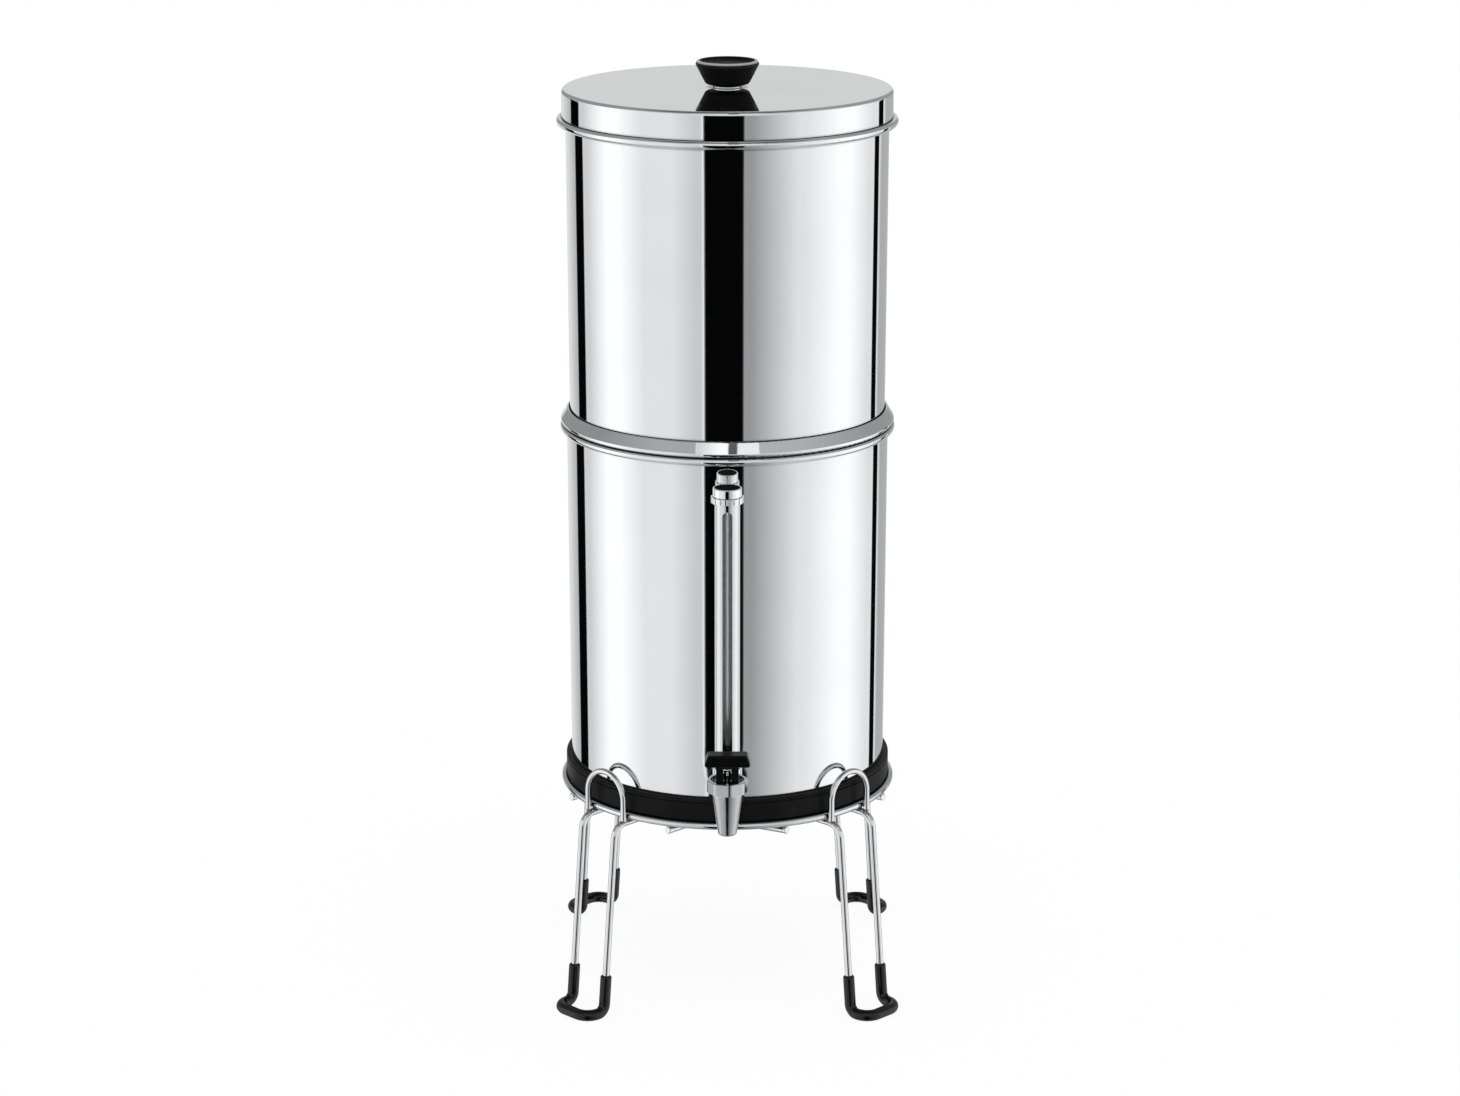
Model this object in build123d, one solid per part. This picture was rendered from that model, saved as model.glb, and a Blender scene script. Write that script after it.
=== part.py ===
from build123d import *
import math
import os

# Gravity water filter: two polished steel chambers, a sight gauge and a lever tap, on a wire stand.
# Millimetres, +Z up, origin on the chambers' axis at floor level, the tap faces -Y.

# Small clearances between pieces, the sheet's thickness and the overrun of cuts
weld_gap = 0.04
seat_gap = 0.15
run_gap = 0.08
fit_gap = 0.03
touch_gap = 0.05
sheet = 0.8
overrun = 1.0

# Lower chamber
chamber_radius = 107.9
chamber_draft = 1.1
lower_height = 244.6
floor_corner = 6.0
rim_curl = 2.2

# Rubber base ring
base_ring_wall = 2.6
base_ring_height = 15.4
base_ring_lip_height = 2.7
base_ring_groove = 0.6
base_ring_ledge = 3.0
base_ring_ledge_width = 12.0
base_ring_round = 1.0
base_ring_rib_depth = 2.2
base_ring_rib_width = 3.0

# Wire stand
wire = 4.8
guard_wire = 4.0
ring_level = 137.5
ring_stand_out = 1.0
leg_spread = 15.5
leg_reach = 9.7
leg_lean = 11.5
leg_bend = 10.0
foot_reach = 15.3
foot_bend = 6.0
foot_corner = 9.6
rod_offset = 47.0
rod_set_back = 8.5
joggle_margin = 10.5
joggle_length = 39.0
joggle_bend = 8.0
guard_set_out = 1.6
guard_rise = 27.8

# Rubber feet
sleeve = 7.6
sleeve_height = 29.0
foot_flat_depth = 0.4

# Upper chamber
nest_depth = 6.0
bead_rise = 209.2
bead_height = 4.4
bead_width = 6.0
bead_round_share = 0.46
rim_rise = 12.2
upper_draft = 1.1
upper_reduction = 0.3
corner_small = 1.2

# Seating collar
collar_reach = 5.2
collar_cone_height = 8.4
collar_lip_height = 1.7
collar_sleeve_height = 5.0
collar_seam = 0.5
collar_fold = 0.6

# Lid
lid_overhang = 1.5
lid_skirt = 18.3
lid_corner = 2.2

# Knob and its fixing
knob_radius = 21.1
knob_foot_radius = 14.2
knob_foot_round = 2.6
knob_height = 15.6
knob_rim_height = 2.4
knob_rim_round_shares = (0.5, 0.33)
knob_dish = 2.0
knob_dish_shares = (0.86, 0.78)
knob_washer_radius = 9.5
knob_washer_thickness = 1.0
knob_neck_radius = 5.3
knob_neck_height = 1.2
screw_radius = 2.5
screw_depth = 10.0
screw_head_radius = 4.6
screw_head_height = 2.8
screw_head_round_share = 0.33

# Filter elements, blanking plugs and their fixings
element_offset = 50.0
element_radius = 33.0
element_headroom = 35.1
element_dome = 9.0
element_base_flange = 1.5
element_base_height = 11.0
stem_radius = 6.0
stem_length = 30.0
gasket_radius = 14.0
gasket_thickness = 2.5
plug_head_radius = 11.5
plug_head_height = 6.0
nut_hub_radius = 9.5
nut_thickness = 7.0
nut_wing_reach = 17.0
nut_wing_thickness = 3.2
nut_wing_height = 9.8
nut_wing_round = 2.3

# Tap, on its shank through the front wall
tap_rise = 27.5
tap_stand_off = 22.7
shank_radius = 8.0
shank_bore = 5.0
shank_end = 3.8
nozzle_top_radius = 10.2
nozzle_tip_radius = 5.95
nozzle_rise = 10.6
nozzle_shoulder_rise = 7.0
nozzle_drop = 21.0
nozzle_tip_round = 1.8
outlet_radius = 3.8
cavity_radius = 7.6
cavity_drop = 7.5
shoulder_width = 3.6
bonnet_flats = 25.2
bonnet_sides = 8
bonnet_turn_share = 0.178
bonnet_overlap = 1.9
bonnet_height = 8.0
bonnet_web = 1.6
bonnet_wall = 1.7
bonnet_throat = 3.4
bonnet_soften = 4.2

# Valve and lever
stem_rod_radius = 2.3
stem_rod_rise = 7.0
seat_cup_radius = 5.6
seat_cup_height = 6.5
pin_radius = 1.25
pin_set_in = 0.8
fork_width = 14.7
fork_slot = 5.2
fork_depth = 13.8
fork_waist = 8.0
fork_heel = 3.2
fork_toe_round = 2.0
paddle_width = 30.6
paddle_bevel = 2.6
paddle_depth = 10.0
paddle_rise = 10.3
paddle_height = 8.0
paddle_round = 1.6
paddle_edge = 1.0

# Sight gauge
tee_radius = 11.0
tee_stand_off = 3.3
tee_length = 26.1
gauge_set_back = 10.3
tee_boss_radius = 9.6
tee_boss_rise = 13.5
tee_socket_depth = 5.5
gauge_head_drop = 21.6
sheath_radius = 8.2
sheath_wall = 1.1
slot_width = 6.5
slot_foot = 10.4
slot_head = 7.7
glass_radius = 2.6
glass_wall = 0.7
glass_head = 4.5
glass_seat = 1.6
seal_rise = 12.0
gauge_collar_radius = 10.6
gauge_collar_lap = 2.8
gauge_collar_height = 3.8
knurl_count = 16
knurl_radius = 0.9
knurl_depth = 0.6
cap_radius = 9.4
cap_height = 5.8
cap_rim = 1.0
cap_recess = 1.4
vent_radius = 0.8
vent_plug_thickness = 0.93

# Washers and nut on the shank
washer_radius = 12.5
washer_bite = 3.2
shank_nut_flats = 24.0
shank_nut_thickness = 6.0
middle_washer_thickness = 1.5

# The stand, worked out from the base ring's size
wire_half = wire / 2
guard_half = guard_wire / 2
base_ring_radius = chamber_radius + base_ring_wall
ring_radius = base_ring_radius + ring_stand_out
leg_top_radius = ring_radius + leg_reach
leg_foot_radius = leg_top_radius + leg_lean
rod_half_length = ring_radius - rod_set_back
joggle_start = ring_radius - joggle_margin
joggle_end = joggle_start - joggle_length
guard_half_width = leg_spread + guard_set_out
upper_wire_level = ring_level - wire - weld_gap
lower_wire_level = upper_wire_level - wire - weld_gap
guard_top = ring_level + guard_rise
foot_level = sleeve / 2 - foot_flat_depth

# The chambers and the lid, each standing on the one below
base_level = ring_level + wire_half + weld_gap
lower_floor = base_level + base_ring_ledge + weld_gap
rim_centre = lower_floor + lower_height - rim_curl - sheet / 2
rim_level = rim_centre + rim_curl + sheet / 2
upper_floor = rim_level - nest_depth
upper_radius = chamber_radius - sheet - upper_reduction
bead_level = upper_floor + bead_rise
upper_top = bead_level + rim_rise
lid_radius = chamber_radius + lid_overhang
lid_top = bead_level + bead_height / 2 + sheet / 2 + 2 * seat_gap + lid_skirt
gasket_level = upper_floor + sheet
element_base_level = gasket_level + gasket_thickness
element_level = element_base_level + element_base_height
element_top = upper_top - element_headroom

# The tap and the gauge, from the front wall outwards and from the shank upwards
tap_level = lower_floor + tap_rise
tee_back = chamber_radius + tee_stand_off
tee_front = tee_back + tee_length
gauge_reach = tee_front - gauge_set_back
tap_shoulder = tee_front + middle_washer_thickness
tap_reach = tee_front + tap_stand_off
inner_washer_face = chamber_radius - chamber_draft - sheet - washer_bite
shank_tail = inner_washer_face - shank_nut_thickness - shank_end
nozzle_top = tap_level + nozzle_rise
nozzle_tip = tap_level - nozzle_drop
cavity_floor = tap_level - cavity_drop
bonnet_bottom = nozzle_top - bonnet_overlap
bonnet_top = bonnet_bottom + bonnet_height
bonnet_floor = nozzle_top + weld_gap + bonnet_web
pin_level = bonnet_floor + fork_heel + weld_gap
paddle_level = pin_level + paddle_rise
tee_boss_top = tap_level + tee_boss_rise
tee_socket = tee_boss_top - tee_socket_depth
seal_top = tee_boss_top + seal_rise
sheath_top = rim_level - gauge_head_drop
slot_bottom = tee_boss_top + slot_foot
slot_top = sheath_top - slot_head
gauge_collar_bottom = sheath_top - gauge_collar_lap
gauge_collar_top = gauge_collar_bottom + gauge_collar_height
cap_top = gauge_collar_top + weld_gap + cap_height

# Which way each leg points, in degrees, and whether its wires dip under the other pair's
legs = {
    "front_left": (225, False),
    "front_right": (315, True),
    "back_left": (135, True),
    "back_right": (45, False),
}


def turned(points, radii):
    """A closed outline of radius and height pairs, turned about the Z axis."""
    outline = FilletPolyline(*points, radius=radii, close=True)
    return revolve(Plane.XZ * make_face(outline.edges()), Axis.Z, 360)


def pressed(path):
    """Sheet of one thickness along a path of radius and height, turned about the Z axis."""
    return revolve(Plane.XZ * trace(path, sheet), Axis.Z, 360)


def upright(radius, bottom, top):
    """A vertical cylinder between two levels."""
    return Pos(0, 0, (bottom + top) / 2) * Cylinder(radius, top - bottom)


def forward(radius, near, far, level):
    """A horizontal cylinder along -Y between two distances from the axis."""
    return Pos(0, -(near + far) / 2, level) * Rot(90, 0, 0) * Cylinder(radius, far - near)


def bent_wire(path, diameter):
    """Round wire swept along a path of straight runs and tangent arcs."""
    start = Plane(path @ 0, z_dir=path % 0)
    return sweep(start * Circle(diameter / 2), path=path)


def leg_frame(azimuth):
    """The frame of a leg: local X points outwards along the leg's azimuth."""
    return Rot(0, 0, azimuth)


def joggled_path(offset, dips):
    """Half of a wire under the ring, from the middle outwards, straight or dipping under the others."""
    level = lower_wire_level if dips else upper_wire_level
    points = [(0, offset, level)]
    if dips:
        points.append((joggle_end, offset, lower_wire_level))
        points.append((joggle_start, offset, upper_wire_level))
    return points


def leg_path(dips):
    """Centre line of one hairpin leg: in under the ring, down, round the foot and back."""
    side = joggled_path(leg_spread, dips)
    side.append((leg_top_radius, leg_spread, upper_wire_level))
    side.append((leg_foot_radius, leg_spread, foot_level))
    side.append((leg_foot_radius + foot_reach, leg_spread, foot_level))
    other = [(x, -y, z) for x, y, z in reversed(side)]
    radii = [leg_bend, foot_bend, foot_corner, foot_corner, foot_bend, leg_bend]
    if dips:
        radii = [joggle_bend, joggle_bend] + radii + [joggle_bend, joggle_bend]
    return FilletPolyline(*(side + other), radius=radii)


def stand_leg(azimuth, dips):
    """One hairpin of wire with its two uprights and its foot."""
    return leg_frame(azimuth) * bent_wire(leg_path(dips), wire)


def foot_path():
    """Centre line of the sleeved foot, the low part of the hairpin."""
    slope = (leg_foot_radius - leg_top_radius) / (upper_wire_level - foot_level)
    top_radius = leg_foot_radius - slope * (sleeve_height - foot_level)
    side = [
        (top_radius, leg_spread, sleeve_height),
        (leg_foot_radius, leg_spread, foot_level),
        (leg_foot_radius + foot_reach, leg_spread, foot_level),
    ]
    other = [(x, -y, z) for x, y, z in reversed(side)]
    return FilletPolyline(*(side + other), radius=[foot_bend, foot_corner, foot_corner, foot_bend])


def foot_sleeve(azimuth):
    """Rubber sleeve on a foot, with the flat it stands on."""
    path = foot_path()
    skin = bent_wire(path, sleeve) - bent_wire(path, wire + 2 * weld_gap)
    reach = leg_foot_radius + foot_reach
    floor = Pos(reach, 0, -sleeve) * Box(2 * reach, 4 * leg_spread, 2 * sleeve)
    return leg_frame(azimuth) * (skin - floor)


def stand_ring():
    """The wire ring that carries the chambers."""
    return Pos(0, 0, ring_level) * Torus(ring_radius, wire_half)


def guard_path():
    """Centre line of one guard: up outside the ring, over and down to the leg's wires."""
    ring_edge = ring_radius + wire_half
    plane = math.sqrt(ring_edge**2 - (guard_half_width - guard_half) ** 2) + guard_half + weld_gap
    foot = upper_wire_level + wire_half + weld_gap
    spring = guard_top - guard_half_width
    rise = Line((plane, guard_half_width, foot), (plane, guard_half_width, spring))
    arch = ThreePointArc(
        (plane, guard_half_width, spring), (plane, 0, guard_top), (plane, -guard_half_width, spring)
    )
    fall = Line((plane, -guard_half_width, spring), (plane, -guard_half_width, foot))
    return rise + arch + fall


def stand_guard(azimuth):
    """One inverted U of wire that keeps the chambers from sliding off."""
    return leg_frame(azimuth) * bent_wire(guard_path(), guard_wire)


def stand_rod(azimuth, offset, dips):
    """One cross rod under the ring, straight or dipping under the others."""
    half = joggled_path(offset, dips)[1:]
    half.append((rod_half_length, offset, upper_wire_level))
    other = [(-x, y, z) for x, y, z in reversed(half)]
    if dips:
        path = FilletPolyline(*(other + half), radius=joggle_bend)
    else:
        path = Line(other[0], half[-1])
    return leg_frame(azimuth) * bent_wire(path, wire)


def base_ring():
    """Rubber ring round the foot of the lower chamber, with a rib that centres it in the wire ring."""
    inner = chamber_radius + run_gap
    rib = ring_radius - wire_half - seat_gap
    top = base_level + base_ring_height
    lip = top - base_ring_lip_height
    groove_radius = base_ring_radius - base_ring_groove
    points = [
        (inner - base_ring_ledge_width, base_level),
        (rib - base_ring_rib_width, base_level),
        (rib - base_ring_rib_width, base_level - base_ring_rib_depth),
        (rib, base_level - base_ring_rib_depth),
        (rib, base_level),
        (base_ring_radius, base_level),
        (base_ring_radius, lip - base_ring_groove),
        (groove_radius, lip),
        (base_ring_radius, lip + base_ring_groove),
        (base_ring_radius, top),
        (inner - chamber_draft + run_gap, top),
        (inner - chamber_draft, base_level + base_ring_ledge),
        (inner - base_ring_ledge_width, base_level + base_ring_ledge),
    ]
    rounds = [0, 0, 0, 0, 0, base_ring_round, 0, 0, 0, base_ring_round, 0, 0, 0]
    return turned(points, rounds)


def lower_wall_radius(level):
    """Outside radius of the lower chamber at a level, with its draft."""
    share = (level - lower_floor) / lower_height
    return chamber_radius - chamber_draft * (1 - share)


def lower_chamber():
    """Drawn pot with a curled rim and the tap's hole."""
    foot = chamber_radius - chamber_draft - sheet / 2
    wall = chamber_radius - sheet / 2
    floor = lower_floor + sheet / 2
    side = FilletPolyline((0, floor), (foot, floor), (wall, rim_centre), radius=floor_corner)
    curl = CenterArc((wall + rim_curl, rim_centre), rim_curl, 180, -270)
    pot = pressed(side + curl)
    return pot - forward(shank_radius + run_gap, shank_tail, tee_front, tap_level)


def upper_chamber():
    """Drawn pot with a rolled bead, and a floor with four holes."""
    wall = upper_radius - sheet / 2
    foot = wall - upper_draft
    floor = upper_floor + sheet / 2
    low = bead_level - bead_height / 2
    high = bead_level + bead_height / 2
    out = wall + bead_width
    points = [(0, floor), (foot, floor), (wall, low), (out, low), (out, high), (wall, high)]
    points.append((wall, upper_top))
    bead_round = bead_height * bead_round_share
    rounds = [floor_corner, corner_small, bead_round, bead_round, corner_small]
    pot = pressed(FilletPolyline(*points, radius=rounds))
    for place in fixing_places():
        pot -= place * upright(stem_radius + seat_gap, upper_floor - overrun, gasket_level + overrun)
    return pot


def upper_wall_radius(level):
    """Outside radius of the upper chamber at a level, with its draft."""
    share = (level - upper_floor) / (bead_level - bead_height / 2 - upper_floor)
    return upper_radius - upper_draft * (1 - share)


def fixing_places():
    """The four holes of the upper floor: two for elements at the sides, two plugged ones."""
    return [Pos(element_offset * math.cos(a), element_offset * math.sin(a), 0) for a in quarter_turns()]


def quarter_turns():
    """The angles of the four floor holes, in radians."""
    return [math.pi * k / 2 for k in range(4)]


def seating_collar():
    """Flared collar folded round the upper chamber, whose turned-in hem rests on the lower chamber's rim."""
    seat = rim_level + seat_gap
    hem = seat + collar_seam + sheet / 2
    cone_foot = hem + collar_lip_height
    cone_top = cone_foot + collar_cone_height
    inner = upper_wall_radius(cone_top) + sheet / 2 + weld_gap
    outer = inner + collar_reach
    rest = chamber_radius - sheet / 2 + rim_curl
    points = [
        (inner, cone_top - collar_sleeve_height),
        (inner, cone_top),
        (outer, cone_foot),
        (outer, hem),
        (rest, hem),
        (rest, seat),
    ]
    return pressed(FilletPolyline(*points, radius=[collar_fold, sheet, sheet, sheet]))


def lid():
    """Flat pressed lid with a short skirt and the knob's hole."""
    top = lid_top - sheet / 2
    wall = lid_radius - sheet / 2
    path = FilletPolyline((0, top), (wall, top), (wall, lid_top - lid_skirt), radius=lid_corner)
    return pressed(path) - upright(screw_radius + seat_gap, lid_top - sheet - overrun, lid_top + overrun)


def knob_washer():
    """Bright washer between the lid and the knob."""
    top = lid_top + knob_washer_thickness
    disc = upright(knob_washer_radius, lid_top, top)
    return disc - upright(screw_radius + seat_gap, lid_top - overrun, top + overrun)


def knob():
    """Tapered bowl-shaped knob with a dished top."""
    foot = lid_top + knob_washer_thickness
    bottom = foot + knob_neck_height
    top = bottom + knob_height
    bore = screw_radius + fit_gap
    depth = foot + screw_depth
    foot_round, top_round = knob_rim_round_shares
    brim, floor = knob_dish_shares
    points = [
        (bore, foot),
        (knob_neck_radius, foot),
        (knob_neck_radius, bottom),
        (knob_foot_radius, bottom),
        (knob_radius, top - knob_rim_height),
        (knob_radius - knob_rim_height / 2, top),
        (knob_radius * brim, top),
        (knob_radius * floor, top - knob_dish),
        (0, top - knob_dish),
        (0, depth),
        (bore, depth),
    ]
    rounds = [0, 0, 0, knob_foot_round, knob_rim_height * foot_round, knob_rim_height * top_round]
    rounds += [knob_rim_height * top_round, knob_dish * foot_round, 0, 0, 0]
    return turned(points, rounds)


def knob_screw():
    """Screw from inside the lid up into the knob."""
    under = lid_top - sheet
    head = Pos(0, 0, under - screw_head_height / 2) * Cylinder(screw_head_radius, screw_head_height)
    tip = lid_top + knob_washer_thickness + screw_depth - seat_gap
    body = head + upright(screw_radius, under, tip)
    return fillet(body.edges().group_by(Axis.Z)[0], screw_head_height * screw_head_round_share)


def element_body():
    """Filter element: a domed cylinder."""
    shoulder = element_top - element_dome
    points = [(0, element_level), (element_radius, element_level)]
    points += [(element_radius, shoulder), (0, element_top)]
    return turned(points, [0, 0, element_dome, 0])


def element_base():
    """Moulded base of an element with its threaded stem."""
    cup = upright(element_radius + element_base_flange, element_base_level, element_level)
    cup = fillet(cup.edges().group_by(Axis.Z)[-1], corner_small)
    return cup + upright(stem_radius, element_base_level - stem_length, element_base_level)


def stem_gasket():
    """Flat gasket round a stem."""
    ring = upright(gasket_radius, gasket_level, element_base_level)
    return ring - upright(stem_radius + run_gap, gasket_level - overrun, element_base_level + overrun)


def blanking_plug():
    """Plug for a spare floor hole, with a head and a threaded stem."""
    head = upright(plug_head_radius, element_base_level, element_base_level + plug_head_height)
    head = fillet(head.edges().group_by(Axis.Z)[-1], corner_small)
    return head + upright(stem_radius, element_base_level - stem_length, element_base_level)


def wing_nut():
    """Wing nut on a stem, tight under the floor."""
    top = upper_floor - touch_gap
    hub = upright(nut_hub_radius, top - nut_thickness, top)
    wings = Box(2 * nut_wing_reach, nut_wing_thickness, nut_wing_height)
    wings = Pos(0, 0, top - nut_wing_height / 2) * wings
    wings = fillet(wings.edges().filter_by(Axis.Y), nut_wing_round)
    bore = upright(stem_radius + fit_gap, top - nut_wing_height - overrun, top + overrun)
    return hub + wings - bore


def group(shapes):
    """Several separate solids of one node."""
    return Compound(children=[s.solid() for s in shapes])


def tap_body():
    """Tap body: tapered nozzle, valve cavity and threaded shank in one piece."""
    points = [
        (0, nozzle_tip),
        (nozzle_tip_radius, nozzle_tip),
        (nozzle_top_radius, tap_level + nozzle_shoulder_rise),
        (nozzle_top_radius, nozzle_top),
        (0, nozzle_top),
    ]
    spout = Pos(0, -tap_reach, 0) * turned(points, [0, nozzle_tip_round, sheet, 0, 0])
    shank = forward(shank_radius, shank_tail, tap_reach, tap_level)
    shoulder = forward(tee_radius, tap_shoulder, tap_shoulder + shoulder_width, tap_level)
    shoulder = chamfer(shoulder.edges().group_by(Axis.Y)[-1], corner_small)
    body = spout + shank + shoulder
    for tool in (
        Pos(0, -tap_reach, 0) * upright(outlet_radius, nozzle_tip - overrun, nozzle_top),
        Pos(0, -tap_reach, 0) * upright(cavity_radius, cavity_floor, nozzle_top + overrun),
        forward(shank_bore, shank_tail - overrun, tap_reach, tap_level),
    ):
        body -= tool
    feed = Pos(0, -gauge_reach, tap_level) * upright(glass_radius - glass_wall, 0, shank_radius + overrun)
    return body - feed


def bonnet():
    """Eight-sided open collar screwed on the tap body, as it came to rest when it was tightened."""
    corner = bonnet_flats / 2 / math.cos(math.pi / bonnet_sides)
    turn = bonnet_turn_share * 360 / bonnet_sides
    outline = RegularPolygon(corner, bonnet_sides, rotation=turn)
    nut = Pos(0, 0, bonnet_bottom) * extrude(outline, bonnet_height)
    nut = fillet(nut.edges().filter_by(Axis.Z), bonnet_soften)
    nut = chamfer(nut.edges().group_by(Axis.Z)[-1], sheet / 2)
    nut -= upright(nozzle_top_radius + fit_gap, bonnet_bottom - overrun, nozzle_top + weld_gap)
    nut -= upright(bonnet_flats / 2 - bonnet_wall, bonnet_floor, bonnet_top + overrun)
    nut -= upright(bonnet_throat, bonnet_bottom, bonnet_top)
    return Pos(0, -tap_reach, 0) * nut


def valve_stem():
    """Metal rod from the seat cup up into the lever's fork."""
    bottom = cavity_floor + seat_cup_height / 2
    rod = upright(stem_rod_radius, bottom, pin_level + stem_rod_rise)
    rod = fillet(rod.edges().group_by(Axis.Z)[-1], stem_rod_radius / 2)
    return Pos(0, -tap_reach, 0) * (rod - pin_eye())


def pin_eye():
    """Cutter for the pin's hole."""
    return Pos(0, 0, pin_level) * Rot(0, 90, 0) * Cylinder(pin_radius + fit_gap, 2 * fork_width)


def seat_cup():
    """Soft cup that closes the outlet."""
    bottom = cavity_floor + touch_gap
    cup = upright(seat_cup_radius, bottom, bottom + seat_cup_height)
    cup = fillet(cup.edges().group_by(Axis.Z)[0], corner_small)
    bore = upright(stem_rod_radius + fit_gap, cavity_floor + seat_cup_height / 2, nozzle_top)
    return Pos(0, -tap_reach, 0) * (cup - bore)


def lever_pin():
    """Cross pin through the fork and the valve stem."""
    return Pos(0, -tap_reach, pin_level) * Rot(0, 90, 0) * Cylinder(pin_radius, fork_width - 2 * pin_set_in)


def tap_lever():
    """Black lever: a wide paddle on a fork that straddles the valve stem."""
    heel = pin_level - fork_heel
    top = paddle_level + paddle_height / 2
    profile = FilletPolyline(
        (-fork_depth / 2, heel), (fork_depth / 2, heel), (fork_waist / 2, top), (-fork_waist / 2, top),
        radius=[fork_toe_round, fork_toe_round, 0, 0], close=True,
    )
    fork = extrude(Plane.YZ * make_face(profile.edges()), fork_width / 2, both=True)
    half = paddle_width / 2
    crown = half - paddle_bevel
    face = make_face(
        FilletPolyline(
            (-half, paddle_level), (half, paddle_level), (crown, paddle_level + paddle_height),
            (-crown, paddle_level + paddle_height), radius=paddle_round, close=True,
        ).edges()
    )
    paddle = extrude(Plane.XZ * face, paddle_depth / 2, both=True)
    paddle = fillet(paddle.edges().group_by(Axis.Y)[0], paddle_edge)
    roof = paddle_level - overrun
    slot_height = roof - heel + overrun
    slot = Pos(0, 0, roof - slot_height / 2) * Box(fork_slot, 2 * fork_depth, slot_height)
    return Pos(0, -tap_reach, 0) * (fork + paddle - slot - pin_eye())


def gauge_base():
    """Tee block on the shank that feeds the gauge and carries its sheath."""
    body = forward(tee_radius, tee_back, tee_front, tap_level)
    body = chamfer(body.edges().group_by(Axis.Y)[0] + body.edges().group_by(Axis.Y)[-1], sheet)
    body += Pos(0, -gauge_reach, 0) * upright(tee_boss_radius, tap_level, tee_boss_top)
    body -= forward(shank_radius + run_gap, tee_back - overrun, tee_front + overrun, tap_level)
    socket = upright(sheath_radius - sheath_wall, tee_socket, tee_boss_top + overrun)
    feed = upright(glass_radius, tap_level, tee_socket + overrun)
    return body - Pos(0, -gauge_reach, 0) * (socket + feed)


def gauge_seal():
    """Rubber bush that holds the gauge's clear tube."""
    radius = sheath_radius - sheath_wall - weld_gap
    bush = upright(radius, tee_socket + weld_gap, seal_top)
    bush = fillet(bush.edges().group_by(Axis.Z)[-1], corner_small)
    bush -= upright(glass_radius + weld_gap, tee_socket + glass_seat / 2, seal_top + overrun)
    bush -= upright(glass_radius - glass_wall, tee_socket - overrun, seal_top)
    return Pos(0, -gauge_reach, 0) * bush


def gauge_glass():
    """Clear tube that shows the water level."""
    bottom = tee_socket + glass_seat
    top = sheath_top - glass_head
    tube = upright(glass_radius, bottom, top)
    bore = upright(glass_radius - glass_wall, bottom - overrun, top + overrun)
    return Pos(0, -gauge_reach, 0) * (tube - bore)


def gauge_sheath():
    """Slotted tube round the clear tube, standing on the tee block."""
    bottom = tee_boss_top + weld_gap
    tube = upright(sheath_radius, bottom, sheath_top)
    tube -= upright(sheath_radius - sheath_wall, bottom - overrun, sheath_top + overrun)
    window = SlotOverall(slot_top - slot_bottom, slot_width)
    cutter = extrude(Plane.XZ * Rot(0, 0, 90) * window, 2 * sheath_radius)
    cutter = Pos(0, 0, (slot_top + slot_bottom) / 2) * cutter
    return Pos(0, -gauge_reach, 0) * (tube - cutter)


def gauge_collar():
    """Knurled ring below the cap."""
    ring = upright(gauge_collar_radius, gauge_collar_bottom, gauge_collar_top)
    flute = upright(knurl_radius, gauge_collar_bottom - overrun, gauge_collar_top + overrun)
    place = Pos(gauge_collar_radius + knurl_radius - knurl_depth, 0, 0)
    for k in range(knurl_count):
        ring -= Rot(0, 0, 360 * k / knurl_count) * place * flute
    ring -= upright(sheath_radius + run_gap, gauge_collar_bottom - overrun, gauge_collar_top + overrun)
    return Pos(0, -gauge_reach, 0) * ring


def gauge_cap():
    """Cap on top of the sheath, with a recess for the vent plug."""
    bottom = gauge_collar_top + weld_gap
    cap = upright(cap_radius, bottom, cap_top)
    cap = fillet(cap.edges().group_by(Axis.Z)[-1], cap_rim / 2 - fit_gap)
    cap -= upright(cap_radius - cap_rim, cap_top - cap_recess, cap_top + overrun)
    cap -= upright(glass_radius, bottom - overrun, cap_top)
    return Pos(0, -gauge_reach, 0) * cap


def vent_plug():
    """Black plug with a vent hole, in the cap's recess."""
    bottom = cap_top - cap_recess
    plug = upright(cap_radius - cap_rim - weld_gap, bottom, bottom + vent_plug_thickness)
    return Pos(0, -gauge_reach, 0) * (plug - upright(vent_radius, bottom - overrun, cap_top))


def washer(near, far):
    """A flat washer on the shank between two distances from the axis."""
    ring = forward(washer_radius, near, far, tap_level)
    return ring - forward(shank_radius + run_gap, near - overrun, far + overrun, tap_level)


def pot_solid(offset):
    """Solid of the lower chamber's wall cone, grown or shrunk by an offset."""
    low = lower_wall_radius(lower_floor) + offset
    high = lower_wall_radius(rim_level) + offset
    cone = Cone(low, high, rim_level - lower_floor)
    return Pos(0, 0, (rim_level + lower_floor) / 2) * cone


def shank_washer_outer():
    """Rubber washer pressed to the outside of the curved wall."""
    return washer(inner_washer_face, tee_back) - pot_solid(weld_gap)


def shank_washer_inner():
    """Rubber washer pressed to the inside of the curved wall."""
    return washer(inner_washer_face, chamber_radius) & pot_solid(-sheet - weld_gap)


def shank_washer_middle():
    """Rubber washer between the tee block and the tap."""
    return washer(tee_front, tap_shoulder) & forward(tee_radius, tee_front, tap_shoulder, tap_level)


def shank_nut():
    """Hexagon nut inside the chamber."""
    corner = shank_nut_flats / math.sqrt(3)
    back = inner_washer_face - shank_nut_thickness
    outline = Plane.XZ * Pos(0, tap_level) * RegularPolygon(corner, 6, rotation=30)
    nut = extrude(Pos(0, -back, 0) * outline, shank_nut_thickness)
    return nut - forward(shank_radius + fit_gap, back - overrun, inner_washer_face + overrun, tap_level)


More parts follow.
